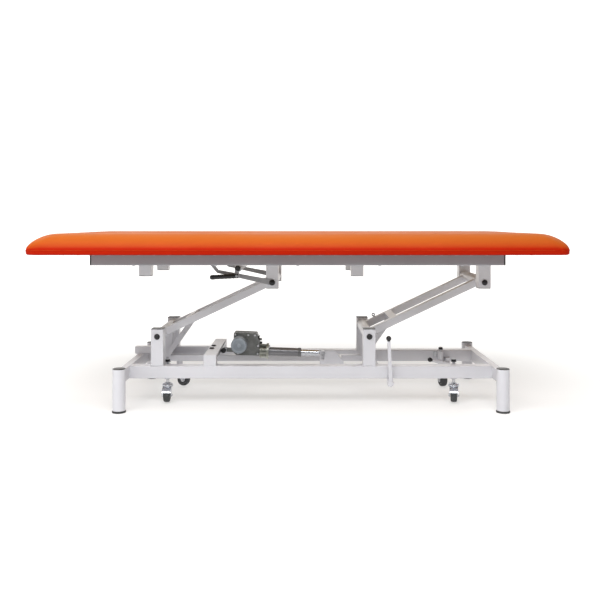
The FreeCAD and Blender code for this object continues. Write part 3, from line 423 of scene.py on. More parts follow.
TUBE_CORNER = 3.0 * MM
SMALL_CORNER = 1.2 * MM
SQUARE_TUBES = (
    "base_rail_near", "base_rail_far", "base_cross_tubes", "end_beam_left", "end_beam_right", "pillars",
    "top_rail_near", "top_rail_far", "top_cross_members", "pivot_brackets", "bumper_posts",
    "left_arm_side_tubes", "right_arm_side_tubes", "tie_bar",
)
PLATES = {
    "bridge": 1.6, "clevis": 1.0, "left_arm_lever": 1.0, "right_arm_lever": 1.0, "castor_guides": 1.2,
    "lever_brackets": 1.2, "stay_strips": 0.8, "handle_clamp": 0.8, "castor_lever_near": 1.4,
    "castor_lever_far": 1.4, "rod_end": 0.8, "front_pin": 0.8, "left_arm_torsion_tubes": 0.6,
    "right_arm_torsion_tubes": 0.6,
}


def make_tubes():
    for name in SQUARE_TUBES:
        corner = TUBE_CORNER if "arm" not in name and name != "tie_bar" else TUBE_CORNER * 0.7
        show_for(f"{name}_enamelled", round_off(closed_tubes(name), corner), name)
    for name, width in PLATES.items():
        show_for(f"{name}_rounded", round_off(cad_shape(name), width * MM, 2), name)


def make_legs():
    """Round legs with a rolled rim, domed caps and ribbed glides."""
    tubes, caps, feet = bmesh.new(), bmesh.new(), bmesh.new()
    for low, high in boxes_in("legs"):
        middle = (low + high) / 2
        radius = (high.x - low.x) / 2 / MM
        height = (high.z - low.z) / MM
        base = Vector((middle.x, middle.y, low.z))
        add_turned(tubes, [
            (radius - 2.4, 0), (radius - 0.8, 0), (radius, 0.8), (radius, height - 0.8),
            (radius - 0.8, height), (radius - 2.4, height),
        ], base, Z, 64)
        top = Vector((middle.x, middle.y, high.z))
        add_turned(caps, [
            (radius - 3, -6), (radius - 3, 0), (radius - 0.1, 0), (radius, 0.5), (radius - 0.2, 1.2),
            (radius - 1.4, 1.9), (radius - 5, 2.2), (radius - 12, 2.4), (2, 2.5),
        ], top, Z, 64)
        reach = radius + 1.5
        add_turned(feet, [
            (reach - 2.2, 0), (reach - 0.6, 0.5), (reach, 1.6), (reach, 3.0), (reach - 0.7, 3.5), (reach - 0.7, 4.3),
            (reach, 4.8), (reach, 6.6), (reach - 0.6, 7.6), (reach - 1.6, 8.0), (radius - 3, 8.0),
        ], Vector((middle.x, middle.y, 0)), Z, 64)
    show_for("leg_tubes_enamelled", tubes, "legs")
    show_for("leg_caps_domed", caps, "leg_caps")
    show_for("leg_glides", feet, "leg_feet")


PLUG_HEAD = 1.5
RAIL_PLUG_HEAD = 4.5


def cap_layers(half, thick):
    return [
        (half - 3, half - 3, 2, -6), (half - 3, half - 3, 2, -0.2), (half + 0.1, half + 0.1, 3.2, 0),
        (half + 0.1, half + 0.1, 3.2, thick - 0.9), (half - 0.4, half - 0.4, 3.2, thick - 0.3),
        (half - 1.8, half - 1.8, 3, thick), (half - 9, half - 9, 2, thick),
    ]


def make_square_caps():
    """Plugs in the open tube ends, with a lip and a slightly domed head."""
    for node, axis in (("pillar_caps", Z), ("post_plugs", -Z)):
        shape = bmesh.new()
        for low, high in boxes_in(node):
            middle = (low + high) / 2
            thick = PLUG_HEAD
            face = high.z - thick * MM if axis.z > 0 else low.z + thick * MM
            half = (high.x - low.x) / 2 / MM
            add_stacked(shape, cap_layers(half, thick), (middle.x, middle.y, face), axis)
        show_for(f"{node}_moulded", shape, node)
    shape = bmesh.new()
    for low, high in boxes_in("top_rail_caps"):
        middle = (low + high) / 2
        side = 1 if middle.x > 0 else -1
        thick = RAIL_PLUG_HEAD
        face = high.x - thick * MM if side > 0 else low.x + thick * MM
        half = (high.z - low.z) / 2 / MM
        add_stacked(shape, cap_layers(half, thick), (face, middle.y, middle.z), X * side)
    show_for("top_rail_caps_moulded", shape, "top_rail_caps")


def add_bolt_cap(shape, centre, axis, radius):
    """A domed cap on a bolt head, with its washer."""
    add_turned(shape, [
        (radius * 0.5, -3), (radius * 1.06, 0.02), (radius * 1.12, 0.5), (radius * 1.12, 1.3), (radius * 1.04, 1.9),
        (radius, 2.2), (radius * 0.985, 3.4), (radius * 0.90, 5.2), (radius * 0.72, 6.9), (radius * 0.45, 7.9),
        (radius * 0.12, 8.2),
    ], centre, axis, 40)


def make_bolts():
    for node, name in (("base_bolts", "base_bolt_caps"), ("top_bolts", "top_bolt_caps")):
        shape = bmesh.new()
        for low, high in boxes_in(node):
            middle = (low + high) / 2
            size = high - low
            if size.y > 60 * MM:
                side = 1 if middle.y > 0 else -1
                face = (high.y if side > 0 else -low.y) - 8 * MM
                add_bolt_cap(shape, (middle.x, side * face, middle.z), Y * side, 10.4)
            elif size.z < 6 * MM:
                add_hex(shape, (middle.x, middle.y, low.z), Z, 9.0, 3.6)
            else:
                add_rear_pin(shape, low, high)
        show_for(name, shape, node)


def add_hex(shape, centre, axis, across, height, washer=1.25):
    """A hexagon head with a chamfered crown on its washer."""
    add_turned(shape, [
        (across * washer * 0.9, -1), (across * washer, 0.01), (across * washer, 0.9), (across * washer * 0.94, 1.2),
    ], centre, axis, 36)
    start = Vector(centre) + Vector(axis) * (1.2 * MM)
    add_turned(shape, [
        (across, 0), (across, height * 0.78), (across * 0.86, height), (across * 0.3, height),
    ], start, axis, 6)


def add_rear_pin(shape, low, high):
    """The actuator's rear pin with its ribbed black head."""
    middle = (low + high) / 2
    start = Vector((middle.x, low.y, middle.z))
    add_turned(shape, [
        (4, 0), (9.0, 0.4), (10.4, 1.6), (10.9, 3), (10.9, 5.5), (10.0, 6.2), (10.0, 7.4), (10.9, 8.1), (10.9, 13),
        (10.2, 13.8), (5, 14), (5, (high.y - low.y) / MM),
    ], start, Y, 40, 10, 0.015)


# ---- welds --------------------------------------------------------------------------------------------

BRIDGE_LEFT, BRIDGE_RIGHT = -380 * MM, -330 * MM
BEAM_HALF = 15 * MM
STRUT_MIDDLE = 93 * MM
BEAD = 2.3 * MM
BEAD_PITCH = 2.4 * MM


def add_weld(shape, start, end):
    add_bar(shape, along_line(start, end, BEAD_PITCH), BEAD, 8, 0.10)


def add_round_weld(shape, centre, axis, radius, start=0.0, end=math.tau):
    """A bead round a tube, from one angle to another."""
    along, first, second = sideways(axis)
    count = max(6, round(radius * (end - start) / BEAD_PITCH))
    path = []
    for step in range(count + 1):
        angle = start + (end - start) * step / count
        path.append(Vector(centre) + (first * math.cos(angle) + second * math.sin(angle)) * radius)
    add_bar(shape, path, BEAD, 8, 0.10)


def make_base_welds():
    shape = bmesh.new()
    rail_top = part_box("base_rail_near")[1].z
    rail_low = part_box("base_rail_near")[0].z
    inset = 3 * MM
    feet = [(low.x, high.x, low.y, high.y) for low, high in boxes_in("pillars")]
    for rail in ("base_rail_near", "base_rail_far"):
        low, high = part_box(rail)
        feet.append((BRIDGE_LEFT, BRIDGE_RIGHT, low.y, high.y))
    for left, right, near, far in feet:
        for x in (left, right):
            add_weld(shape, (x, near + inset, rail_top), (x, far - inset, rail_top))
    for rail in ("base_rail_near", "base_rail_far"):
        low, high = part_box(rail)
        for x in (low.x, high.x):
            for y in (low.y, high.y):
                add_weld(shape, (x, y, low.z + inset), (x, y, high.z - inset))
    for low, high in boxes_in("base_cross_tubes"):
        for y in (low.y, high.y):
            add_weld(shape, (low.x + inset, y, high.z), (high.x - inset, y, high.z))
            add_weld(shape, (low.x + inset, y, low.z), (high.x - inset, y, low.z))
    for low, high in boxes_in("legs"):
        middle = (low + high) / 2
        radius = (high.x - low.x) / 2
        inner = -1 if middle.y > 0 else 1
        straight = 0.0 if inner > 0 else math.pi
        wide = math.asin(BEAM_HALF / radius)
        for height in (rail_low, rail_top):
            add_round_weld(shape, (middle.x, middle.y, height), Z, radius, straight - wide, straight + wide)
        y = middle.y + inner * radius * math.cos(wide)
        for x in (middle.x - BEAM_HALF, middle.x + BEAM_HALF):
            add_weld(shape, (x, y, rail_low), (x, y, rail_top))
    low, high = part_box("bridge")
    for y in (STRUT_MIDDLE - BEAM_HALF, STRUT_MIDDLE + BEAM_HALF):
        add_weld(shape, (low.x + inset, y, rail_top), (low.x + 2 * BEAM_HALF, y, rail_top))
    show("base_welds", shape, "white_enamel", "base")


def make_arm_welds():
    for arm in ("left_arm", "right_arm"):
        shape = bmesh.new()
        barrels = boxes_in(f"{arm}_torsion_tubes")
        for low, high in barrels:
            middle = (low + high) / 2
            radius = (high.z - low.z) / 2
            for bar_low, bar_high in boxes_in(f"{arm}_side_tubes"):
                for y in (bar_low.y, bar_high.y):
                    add_arm_weld(shape, middle, radius, y, barrels)
        show(f"{arm}_welds", shape, "white_enamel", arm)


def add_arm_weld(shape, middle, radius, y, barrels):
    """A bead where an arm's side tube meets a torsion tube, on the arm's side of it."""
    centres = [(low + high) / 2 for low, high in barrels]
    other = max(centres, key=lambda point: (point - middle).length)
    direction = (other - middle).normalized()
    path = []
    for step in range(13):
        angle = math.radians(-42 + 84 * step / 12)
        turned = Vector((
            direction.x * math.cos(angle) - direction.z * math.sin(angle), 0,
            direction.x * math.sin(angle) + direction.z * math.cos(angle),
        ))
        path.append(Vector((middle.x, y, middle.z)) + turned * radius)
    add_bar(shape, path, BEAD * 0.8, 8, 0.10)


# ---- pad ----------------------------------------------------------------------------------------------

PAD_CORNER = 105 * MM
ROLL = 100 * MM
ROLL_HEIGHT = 60 * MM
SHOULDER = 340 * MM
SHOULDER_DROP = 2.5 * MM
CROWN_DROP = 6 * MM
LOW_ROUND = 12 * MM
LOW_HEIGHT = 19 * MM
HEM = 50 * MM
HEM_THICK = 1.2 * MM
SWELL = 3 * MM
PLEATS = 13


def grid_lines(half):
    """Distances from the middle: close together over the rolled edge, wider on the flat top."""
    rolled = [half - ROLL * (1 - math.cos(math.pi / 2 * step / 13)) for step in range(14)]
    flat_end = half - ROLL
    count = round(flat_end / (22 * MM))
    flat = [flat_end * step / count for step in range(count)]
    positive = flat + sorted(rolled)
    return [-value for value in reversed(positive[1:])] + positive


def on_plan(x, y, half_x, half_y):
    """Bend the corners of the rectangular grid round, and give the distance from the outline."""
    a = (abs(x) - (half_x - PAD_CORNER)) / PAD_CORNER
    b = (abs(y) - (half_y - PAD_CORNER)) / PAD_CORNER
    if a <= 0 or b <= 0:
        return x, y, min(half_x - abs(x), half_y - abs(y))
    reach = max(a, b)
    power = 2 + 3 * reach ** 3
    length = (a ** power + b ** power) ** (1 / power)
    a, b = a * reach / length, b * reach / length
    bent_x = math.copysign(half_x - PAD_CORNER + a * PAD_CORNER, x)
    bent_y = math.copysign(half_y - PAD_CORNER + b * PAD_CORNER, y)
    return bent_x, bent_y, PAD_CORNER * (1 - reach)


def top_height(distance, crown):
    """Height of the pad's upper face at a distance from its outline."""
    if distance < ROLL:
        share = 1 - distance / ROLL
        return crown - SHOULDER_DROP - ROLL_HEIGHT * (1 - math.sqrt(max(0.0, 1 - share * share)))
    share = min(1.0, (distance - ROLL) / (SHOULDER - ROLL))
    return crown - SHOULDER_DROP * (1 - share * share * (3 - 2 * share))


def pad_shape():
    low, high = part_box("pad")
    half_x, half_y = high.x - SWELL * 0.4, high.y - SWELL * 0.4
    crown = high.z - CROWN_DROP
    shape = bmesh.new()
    xs, ys = grid_lines(half_x), grid_lines(half_y)
    grid = []
    for x in xs:
        row = []
        for y in ys:
            bent_x, bent_y, distance = on_plan(x, y, half_x, half_y)
            row.append(shape.verts.new((bent_x, bent_y, top_height(distance, crown))))
        grid.append(row)
    for first, second in zip(grid, grid[1:]):
        for index in range(len(ys) - 1):
            shape.faces.new((first[index], second[index], second[index + 1], first[index + 1]))
    edge = [row[0] for row in grid] + grid[-1][1:] + [row[-1] for row in reversed(grid[:-1])]
    edge += list(reversed(grid[0][1:-1]))
    wall_top = crown - SHOULDER_DROP - ROLL_HEIGHT
    below = [(0.0, wall_top * 0.5 + (low.z + LOW_HEIGHT) * 0.5)]
    below += [
        (LOW_ROUND * (1 - math.cos(angle)), low.z + LOW_HEIGHT * (1 - math.sin(angle)))
        for angle in (math.pi / 2 * step / 6 for step in range(7))
    ]
    below += [(22 * MM, low.z - HEM_THICK * 0.4), (30 * MM, low.z - HEM_THICK)]
    below += [(HEM - MM, low.z - HEM_THICK), (HEM, low.z - HEM_THICK * 0.5), (HEM, low.z + HEM_THICK)]
    outline = [corner.co.copy() for corner in edge]
    ring = edge
    for inset, height in below:
        following = [shape.verts.new(inset_point(point, inset, height, half_x, half_y)) for point in outline]
        for index in range(len(ring)):
            after = (index + 1) % len(ring)
            shape.faces.new((ring[after], ring[index], following[index], following[after]))
        ring = following
    shape.faces.new(ring)
    bmesh.ops.recalc_face_normals(shape, faces=shape.faces)
    return shape


def inset_point(point, inset, height, half_x, half_y):
    """A point of the outline moved inwards, square to the outline."""
    corner = Vector((
        max(-half_x + PAD_CORNER, min(half_x - PAD_CORNER, point.x)),
        max(-half_y + PAD_CORNER, min(half_y - PAD_CORNER, point.y)), 0,
    ))
    outward = Vector((point.x, point.y, 0)) - corner
    outward = outward.normalized() if outward.length > 1e-6 else Vector((0, math.copysign(1, point.y), 0))
    moved = Vector((point.x, point.y, 0)) - outward * inset
    return moved.x, moved.y, height


def swell(item, held_below):
    """Blow the cover up like foam under tight vinyl, by no more than SWELL."""
    start = [corner.co.copy() for corner in item.data.vertices]
    held = item.vertex_groups.new(name="held")
    held.add([corner.index for corner in item.data.vertices if corner.co.z < held_below], 1.0, "REPLACE")
    cloth = item.modifiers.new("swelling", "CLOTH")
    settings = cloth.settings
    settings.quality = 6
    settings.mass = 0.4
    settings.tension_stiffness = 18
    settings.compression_stiffness = 18
    settings.shear_stiffness = 8
    settings.bending_stiffness = 2.0
    settings.use_pressure = True
    settings.uniform_pressure_force = 4.0
    settings.vertex_group_mass = "held"
    settings.effector_weights.gravity = 0.0
    cloth.collision_settings.use_self_collision = False
    scene = bpy.context.scene
    for moment in range(1, 21):
        scene.frame_set(moment)
    blown = item.evaluated_get(bpy.context.evaluated_depsgraph_get()).data
    moves = [blown.vertices[index].co - point for index, point in enumerate(start)]
    item.modifiers.remove(cloth)
    scene.frame_set(1)
    for corner, point, move in zip(item.data.vertices, start, moves):
        corner.co = point + move * (min(1.0, SWELL / move.length) if move.length > 0 else 0.0)


def settle_cover(item, low, high):
    """Soft unevenness of the vinyl, and small gathers where it is drawn round the lower corners."""
    for corner in item.data.vertices:
        point = corner.co
        if point.z < low.z - HEM_THICK * 0.2:
            continue
        height = (point.z - low.z) / (high.z - low.z)
        corner.co += Vector((0, 0, 0.9 * MM * noise.noise(Vector((point.x * 3.1, point.y * 3.1, 5.0))))) * height
        inner_x = abs(point.x) - (high.x - PAD_CORNER)
        inner_y = abs(point.y) - (high.y - PAD_CORNER)
        if inner_x > 0 and inner_y > 0 and height < 0.45:
            angle = math.atan2(inner_y, inner_x)
            fade = math.sin(2 * angle) * (1 - height / 0.45) ** 2
            outward = Vector((math.copysign(inner_x, point.x), math.copysign(inner_y, point.y), 0)).normalized()
            corner.co -= outward * (0.9 * MM * fade * (0.5 + 0.5 * math.cos(4 * PLEATS * angle)))


def make_pad():
    low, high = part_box("pad")
    item = show_for("pad_cover", pad_shape(), "pad", smooth=60)
    swell(item, low.z + LOW_HEIGHT * 0.3)
    settle_cover(item, low, high)
    item.modifiers.clear()
    finer = item.modifiers.new("finer", "SUBSURF")
    finer.levels = 1
    finer.render_levels = 1
    item.data.shade_smooth()


def make_staples():
    """Staples that hold the cover's hem to the board."""
    low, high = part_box("pad")
    half_x, half_y = high.x - 40 * MM, high.y - 40 * MM
    shape = bmesh.new()
    pitch = 55 * MM
    for side in (-1, 1):
        for long, half, across in ((half_x, half_y, X), (half_y, half_x, Y)):
            count = round(2 * (long - PAD_CORNER) / pitch)
            for step in range(count + 1):
                shift = -(long - PAD_CORNER) + 2 * (long - PAD_CORNER) * step / count
                middle = across * shift + (Y if across is X else X) * (side * half)
                middle.z = low.z - HEM_THICK
                path = [
                    middle - across * 5 * MM + Z * MM, middle - across * 5 * MM - Z * 0.4 * MM,
                    middle + across * 5 * MM - Z * 0.4 * MM, middle + across * 5 * MM + Z * MM,
                ]
                add_bar(shape, path, 0.55 * MM, 6)
    show("hem_staples", shape, "zinc_steel", "top")


# ---- actuator -----------------------------------------------------------------------------------------

def drive_axes():
    """The actuator's rear pivot, its own direction, and its upward direction."""
    along = Vector(JOINTS["actuator_stroke"]["axis"]).normalized()
    return Vector(JOINTS["actuator_tilt"]["pos_m"]), along, Y.cross(along).normalized() * -1


def on_drive(along_mm, side_mm, up_mm):
    origin, along, up = drive_axes()
    return origin + along * (along_mm * MM) + Y * (side_mm * MM) + up * (up_mm * MM)


def make_motor():
    low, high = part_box("motor")
    centre = Vector(((low.x + high.x) / 2, 0, (low.z + high.z) / 2))
    start = Vector((centre.x, low.y, centre.z))
    length = (high.y - low.y) / MM
    shape = bmesh.new()
    add_turned(shape, [
        (3, 0.6), (7, 0.4), (8, 1.2), (9, 2.2), (22, 2.2), (24, 1.4), (27, 0.6), (29, 0.2), (31, 0.8), (32.6, 2.4),
        (33.2, 4.4), (33.4, 12), (32.7, 12.8), (32.7, 14.2), (33.4, 15), (33.5, length - 12), (32.4, length - 11),
        (32.4, length - 9), (33.5, length - 8), (33.5, length),
    ], start, Y, 72)
    show_for("motor_can", shape, "motor")


def make_gearbox():
    show_for("gearbox_case", round_off(cad_shape("gearbox"), 1.6 * MM, 2, 4 * MM), "gearbox", smooth=40)
    bosses = bmesh.new()
    screws = bmesh.new()
    for along, up in ((50, 70), (132, 70), (146, 26), (146, -8), (62, -8), (104, 70)):
        foot = on_drive(along, -30, up)
        add_turned(bosses, [(7.2, -1), (7.2, 1.6), (6.4, 2.6), (3, 2.6)], foot, -Y, 32)
        add_hex(screws, foot - Y * 2.4 * MM, -Y, 3.4, 2.6, 1.25)
    for up in (-6, 8, 22, 36, 50, 64):
        rib = [on_drive(150, side, up) for side in (-20, 20)]
        add_bar(bosses, [*rib], 1.7 * MM, 10)
    add_bar(bosses, [on_drive(along, 10, 78) for along in (46, 92, 136)], 1.5 * MM, 10)
    show("gearbox_bosses", bosses, "grey_casting", "actuator")
    show("gearbox_screws", screws, "zinc_steel", "actuator")
    make_inlet()


def make_inlet():
    """The cable inlet: three ribbed black plugs."""
    _, along, up = drive_axes()
    shape = bmesh.new()
    for side, height, reach in ((-19, 54, 15), (-6, 60, 12), (-19, 38, 10)):
        foot = on_drive(139 if height > 50 else 152, side, height)
        rings = [(5.6, 0), (5.6, 2)]
        for step in range(4):
            rings += [(4.6, 2.6 + step * 2.2), (5.2, 3.4 + step * 2.2), (5.2, 4.2 + step * 2.2)]
        rings += [(3.6, reach - 1.5), (1.5, reach - 1.2)]
        add_turned(shape, rings, foot, along, 28)
    show("inlet_plugs", shape, "black_plastic", "actuator")


def make_flange():
    show_for("flange_casting", round_off(cad_shape("drive_flange"), 1.0 * MM, 2, 3 * MM), "drive_flange", smooth=40)
    screws = bmesh.new()
    _, along, up = drive_axes()
    for turn in range(4):
        angle = math.tau * (turn + 0.5) / 4
        spot = on_drive(191, 26.5 * math.cos(angle), 26.5 * math.sin(angle))
        add_hex(screws, spot, along, 3.6, 3.0, 1.2)
    show("flange_screws", screws, "zinc_steel", "actuator")


def make_spindle():
    _, along, _ = drive_axes()
    tube = bmesh.new()
    add_turned(tube, [
        (16.9, 190), (17.5, 190.6), (17.5, 300), (17.2, 300.6), (17.2, 301.6), (17.5, 302.2), (17.5, 327.4),
        (16.9, 328), (14.4, 328),
    ], on_drive(0, 0, 0), along, 56)
    show_for("outer_tube_drawn", tube, "outer_tube")
    collar = bmesh.new()
    add_turned(collar, [
        (14.0, 316), (18.3, 316), (18.8, 316.6), (18.8, 327.5), (18.2, 328.6), (16.0, 329.4), (14.3, 329.2),
    ], on_drive(0, 0, 0), along, 56)
    show("tube_collar", collar, "dark_plastic", "actuator")


# ---- castors ------------------------------------------------------------------------------------------

CASTORS = ("near_left", "near_right", "far_left", "far_right")


WHEEL_HALF = 13.0
CHEEK_AT = 16.0
HOOD_INNER, HOOD_OUTER = 30.0, 32.5


def add_hood(shape, stem, trail, axle):
    """The bent front of a fork, over the wheel."""
    rings = []
    for step in range(15):
        angle = math.radians(26 + step * 6)
        ring = []
        for radius, side in ((HOOD_INNER, -1), (HOOD_OUTER, -1), (HOOD_OUTER, 1), (HOOD_INNER, 1)):
            across = side * (CHEEK_AT + 1.4)
            ring.append(stem + (
                trail * (20 + radius * math.cos(angle)) + Z * (31.5 + radius * math.sin(angle)) + axle * across
            ) * MM)
        rings.append(ring)
    hood = add_rings(bmesh.new(), rings)
    copy_into(shape, round_off(hood, 0.8 * MM, 2))


def add_fork_cheeks(shape, stem, trail, axle):
    for side in (-1, 1):
        outline = [(-13, 62), (-13, 67), (17, 67)]
        outline += [
            (20 + 32.0 * math.cos(angle), 31.5 + 32.0 * math.sin(angle))
            for angle in (math.radians(84 - step * 11) for step in range(5))
        ]
        outline += [
            (20 + 9 * math.cos(angle), 31.5 + 9 * math.sin(angle))
            for angle in (math.radians(15 - step * 25) for step in range(9))
        ]
        outline.append((-4, 52))
        cheek = add_plate(bmesh.new(), outline, stem + axle * (side * CHEEK_AT * MM), trail, Z, 2.8)
        copy_into(shape, round_off(cheek, 0.7 * MM, 2))


def make_castor(name):
    stem = Vector(JOINTS[f"swivel_{name}"]["pos_m"])
    hub = Vector(JOINTS[f"roll_{name}"]["pos_m"])
    axle = Vector(JOINTS[f"roll_{name}"]["axis"]).normalized()
    trail = Vector((hub.x - stem.x, hub.y - stem.y, 0)).normalized()
    ground = Vector((stem.x, stem.y, 0))

    fork = bmesh.new()
    add_turned(fork, [
        (8, 63), (19, 63), (21.6, 63.5), (22.5, 65), (22.5, 69.5), (21.8, 72.4), (19.8, 74.6), (16.4, 75.8),
        (12.8, 76.0), (12.4, 78.0), (11.4, 78.8), (7, 78.8),
    ], ground, Z, 56)
    add_hood(fork, ground, trail, axle)
    add_fork_cheeks(fork, ground, trail, axle)
    show_for(f"castor_fork_pressed_{name}", fork, f"castor_fork_{name}", smooth=45)

    bolt = bmesh.new()
    add_hex(bolt, hub + axle * 17.4 * MM, axle, 5.6, 3.2, 1.2)
    add_hex(bolt, hub - axle * 17.4 * MM, -axle, 5.6, 3.6, 1.2)
    show(f"castor_axle_{name}", bolt, "zinc_steel", f"fork_{name}")

    half = WHEEL_HALF
    tyre = bmesh.new()
    add_turned(tyre, [
        (17.5, -half + 2.4), (18.4, -half + 0.7), (20.5, -half), (23.5, -half + 0.4), (26.0, -half + 2.2),
        (27.3, -half + 5), (27.9, -half + 9), (28.0, -1.2), (27.5, -0.6), (27.5, 0.6), (28.0, 1.2),
        (27.9, half - 9), (27.3, half - 5), (26.0, half - 2.2), (23.5, half - 0.4), (20.5, half),
        (18.4, half - 0.7), (17.5, half - 2.4),
    ], hub, axle, 64)
    show_for(f"castor_tyre_{name}", tyre, f"castor_wheel_{name}")

    disc = bmesh.new()
    _, first, second = sideways(axle)
    for side in (-1, 1):
        add_turned(disc, [
            (17.9, 1.0), (17.9, half - 2.6), (17.0, half - 1.9), (16.0, half - 2.4), (15.0, half - 5.0),
            (10.2, half - 5.0), (9.4, half - 3.0), (8.6, half - 0.9), (7.6, half - 0.4), (5.0, half - 0.4),
            (4.8, half - 1.2), (3.0, half - 1.2),
        ], hub, axle * side, 48)
        for spoke in range(6):
            angle = math.tau * spoke / 6
            out = first * math.cos(angle) + second * math.sin(angle)
            foot = hub + axle * (side * (half - 4.4) * MM)
            add_bar(disc, [foot + out * 9 * MM, foot + out * 16.2 * MM], 1.3 * MM, 8)
    show(f"castor_hub_{name}", disc, "dark_plastic", f"wheel_{name}")


def copy_into(target, source):
    """Add one shape's faces to another and free it."""
    corners = {corner: target.verts.new(corner.co) for corner in source.verts}
    for face in source.faces:
        target.faces.new([corners[corner] for corner in face.verts])
    source.free()


def make_stems():
    """Threaded stem ends, with their nuts and washers apart."""
    for side in ("near", "far"):
        node = f"castor_stems_{side}"
        stems, nuts = bmesh.new(), bmesh.new()
        for low, high in boxes_in(node):
            middle = (low + high) / 2
            ground = Vector((middle.x, middle.y, 0))
            top = high.z / MM
            thread = [(9.2, 59.6), (9.4, 60), (9.4, 62.2), (6.4, 62.4), (6.4, top - 12)]
            for step in range(8):
                thread += [(6.4, top - 11.6 + step * 1.4), (5.8, top - 10.9 + step * 1.4)]
            thread += [(5.2, top), (2.0, top)]
            add_turned(stems, thread, ground, Z, 32)
            add_turned(nuts, [
                (6.2, top - 11.4), (11.2, top - 11.4), (11.4, top - 10.9), (11.2, top - 9.6), (6.2, top - 9.6),
            ], ground, Z, 36)
            add_turned(nuts, [
                (6.2, top - 9.6), (9.4, top - 9.6), (10.0, top - 9.0), (10.0, top - 3.4), (9.2, top - 2.6),
                (6.2, top - 2.6),
            ], ground, Z, 6)
        show_for(f"castor_stem_threads_{side}", stems, node)
        show(f"castor_stem_nuts_{side}", nuts, "black_bolt", f"castor_lift_{side}")


# ---- hand parts ---------------------------------------------------------------------------------------

def make_ball(side):
    node = f"lever_ball_{side}"
    low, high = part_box(node)
    centre = (low + high) / 2
    pivot = Vector(JOINTS[f"castor_lever_{side}_turn"]["pos_m"])
    axis = Vector((centre.x - pivot.x, 0, centre.z - pivot.z)).normalized()
    shape = bmesh.new()
    profile = [(5.0, -11.2), (6.2, -11.0), (6.6, -10.2), (6.4, -9.2)]
    profile += [
        (10.2 * math.sin(angle), -10.2 * math.cos(angle))
        for angle in (math.radians(38 + step * 9.2) for step in range(16))
    ]
    add_turned(shape, profile, Vector((centre.x, pivot.y, centre.z)), axis, 40)
    show_for(f"{node}_moulded", shape, node)


def make_hand_lever():
    """A grip with finger grooves on a short pivoting root."""
    low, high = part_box("hand_lever")
    hinge = Vector(JOINTS["hand_lever_pull"]["pos_m"])
    lean = math.radians(3)
    along = Vector((-math.cos(lean), 0, -math.sin(lean)))
    foot = Vector((hinge.x, low.y + 9.5 * MM, hinge.z))
    shape = bmesh.new()
    profile = [(5.2, 2), (6.4, 4), (7.0, 7), (9.0, 8.5), (9.5, 10)]
    for groove in range(5):
        start = 12 + groove * 15.5
        profile += [(9.5, start), (9.0, start + 3.5), (8.7, start + 7.5), (9.0, start + 11.5)]
    profile += [(9.5, 90), (9.5, 97), (8.9, 101), (7.2, 104.2), (4.4, 106.4), (1.2, 107.2)]
    add_turned(shape, profile, foot, along, 40)
    root = bmesh.new()
    add_stacked(root, [
        (6.2, 8.2, 3, -5), (7, 9, 3, -4), (7, 9, 3, 4), (6.2, 8.2, 3, 5),
    ], foot, Y)
    copy_into(shape, root)
    add_turned(shape, [(3.0, 0), (3.0, (-216 * MM - foot.y) / MM)], foot, Y, 24)
    show_for("hand_lever_grip", shape, "hand_lever")
    bolt = bmesh.new()
    add_hex(bolt, foot - Y * 5.0 * MM, -Y, 4.6, 3.4, 1.3)
    show("hand_lever_bolt", bolt, "zinc_steel", "hand_lever")


def make_lock_knob():
    low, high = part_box("lock_knob")
    centre = Vector(((low.x + high.x) / 2, low.y, (low.z + high.z) / 2))
    shape = bmesh.new()
    add_turned(shape, [
        (4, 0.6), (7.5, 0.2), (9.6, 0.8), (10.9, 2.4), (11.3, 5), (11.3, 10.5), (10.2, 12.2), (7.0, 13.0), (6.2, 16), (3, 16),
    ], centre, Y, 60, 6, 0.045)
    add_turned(shape, [(3, 15), (3, (high.y - low.y) / MM)], centre, Y, 24)
    show_for("lock_knob_star", shape, "lock_knob")


# ---- small parts that only the looks need --------------------------------------------------------------

def make_pad_screws():
    """Screws through the upper frame into the pad's board."""
    shape = bmesh.new()
    for rail in ("top_rail_near", "top_rail_far"):
        low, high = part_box(rail)
        for step in range(5):
            x = low.x + (high.x - low.x) * (step + 0.5) / 5
            add_turned(shape, [
                (2, -1), (5.4, 0.02), (5.6, 0.5), (4.9, 2.2), (3.2, 3.1), (2.6, 3.1), (2.4, 1.6), (0.8, 1.6),
            ], (x, (low.y + high.y) / 2, low.z), -Z, 28)
    show("pad_screws", shape, "zinc_steel", "top")


def make_cable_eye():
    """A small eye on the far side tube of the right arm."""
    low, high = sorted(boxes_in("right_arm_side_tubes"), key=lambda box: box[0].y)[1]
    pivot = Vector(JOINTS["right_arm_pivot"]["pos_m"])
    top = Vector((high.x, (low.y + high.y) / 2, high.z))
    along = (Vector((high.x, 0, high.z)) - Vector((pivot.x, 0, pivot.z))).normalized()
    foot = Vector((pivot.x, top.y, pivot.z)) + along * 62 * MM
    up = Y.cross(along) * -1
    foot = foot + up * 15 * MM
    shape = bmesh.new()
    ring = [
        foot + up * (9 + 5.5 * math.sin(angle)) * MM + along * (5.5 * math.cos(angle)) * MM
        for angle in (math.tau * step / 20 for step in range(20))
    ]
    add_bar(shape, ring, 2.4 * MM, 10, loop=True)
    add_bar(shape, [foot - up * 2 * MM, foot + up * 3.8 * MM], 3.4 * MM, 12)
    show("cable_eye", shape, "dark_plastic", "right_arm")


def make_lever_bosses():
    """Round bosses at the feet of the castor levers."""
    for side, radius in (("near", 12.5), ("far", 10.0)):
        shape = bmesh.new()
        add_turned(shape, [
            (3, -5.4), (radius - 2, -5.4), (radius - 0.6, -4.9), (radius, -3.6), (radius, 3.6), (radius - 0.6, 4.9),
            (radius - 2, 5.4), (3, 5.4),
        ], JOINTS[f"castor_lever_{side}_turn"]["pos_m"], Y, 40)
        show(f"castor_lever_boss_{side}", shape, "white_enamel", f"castor_lever_{side}")


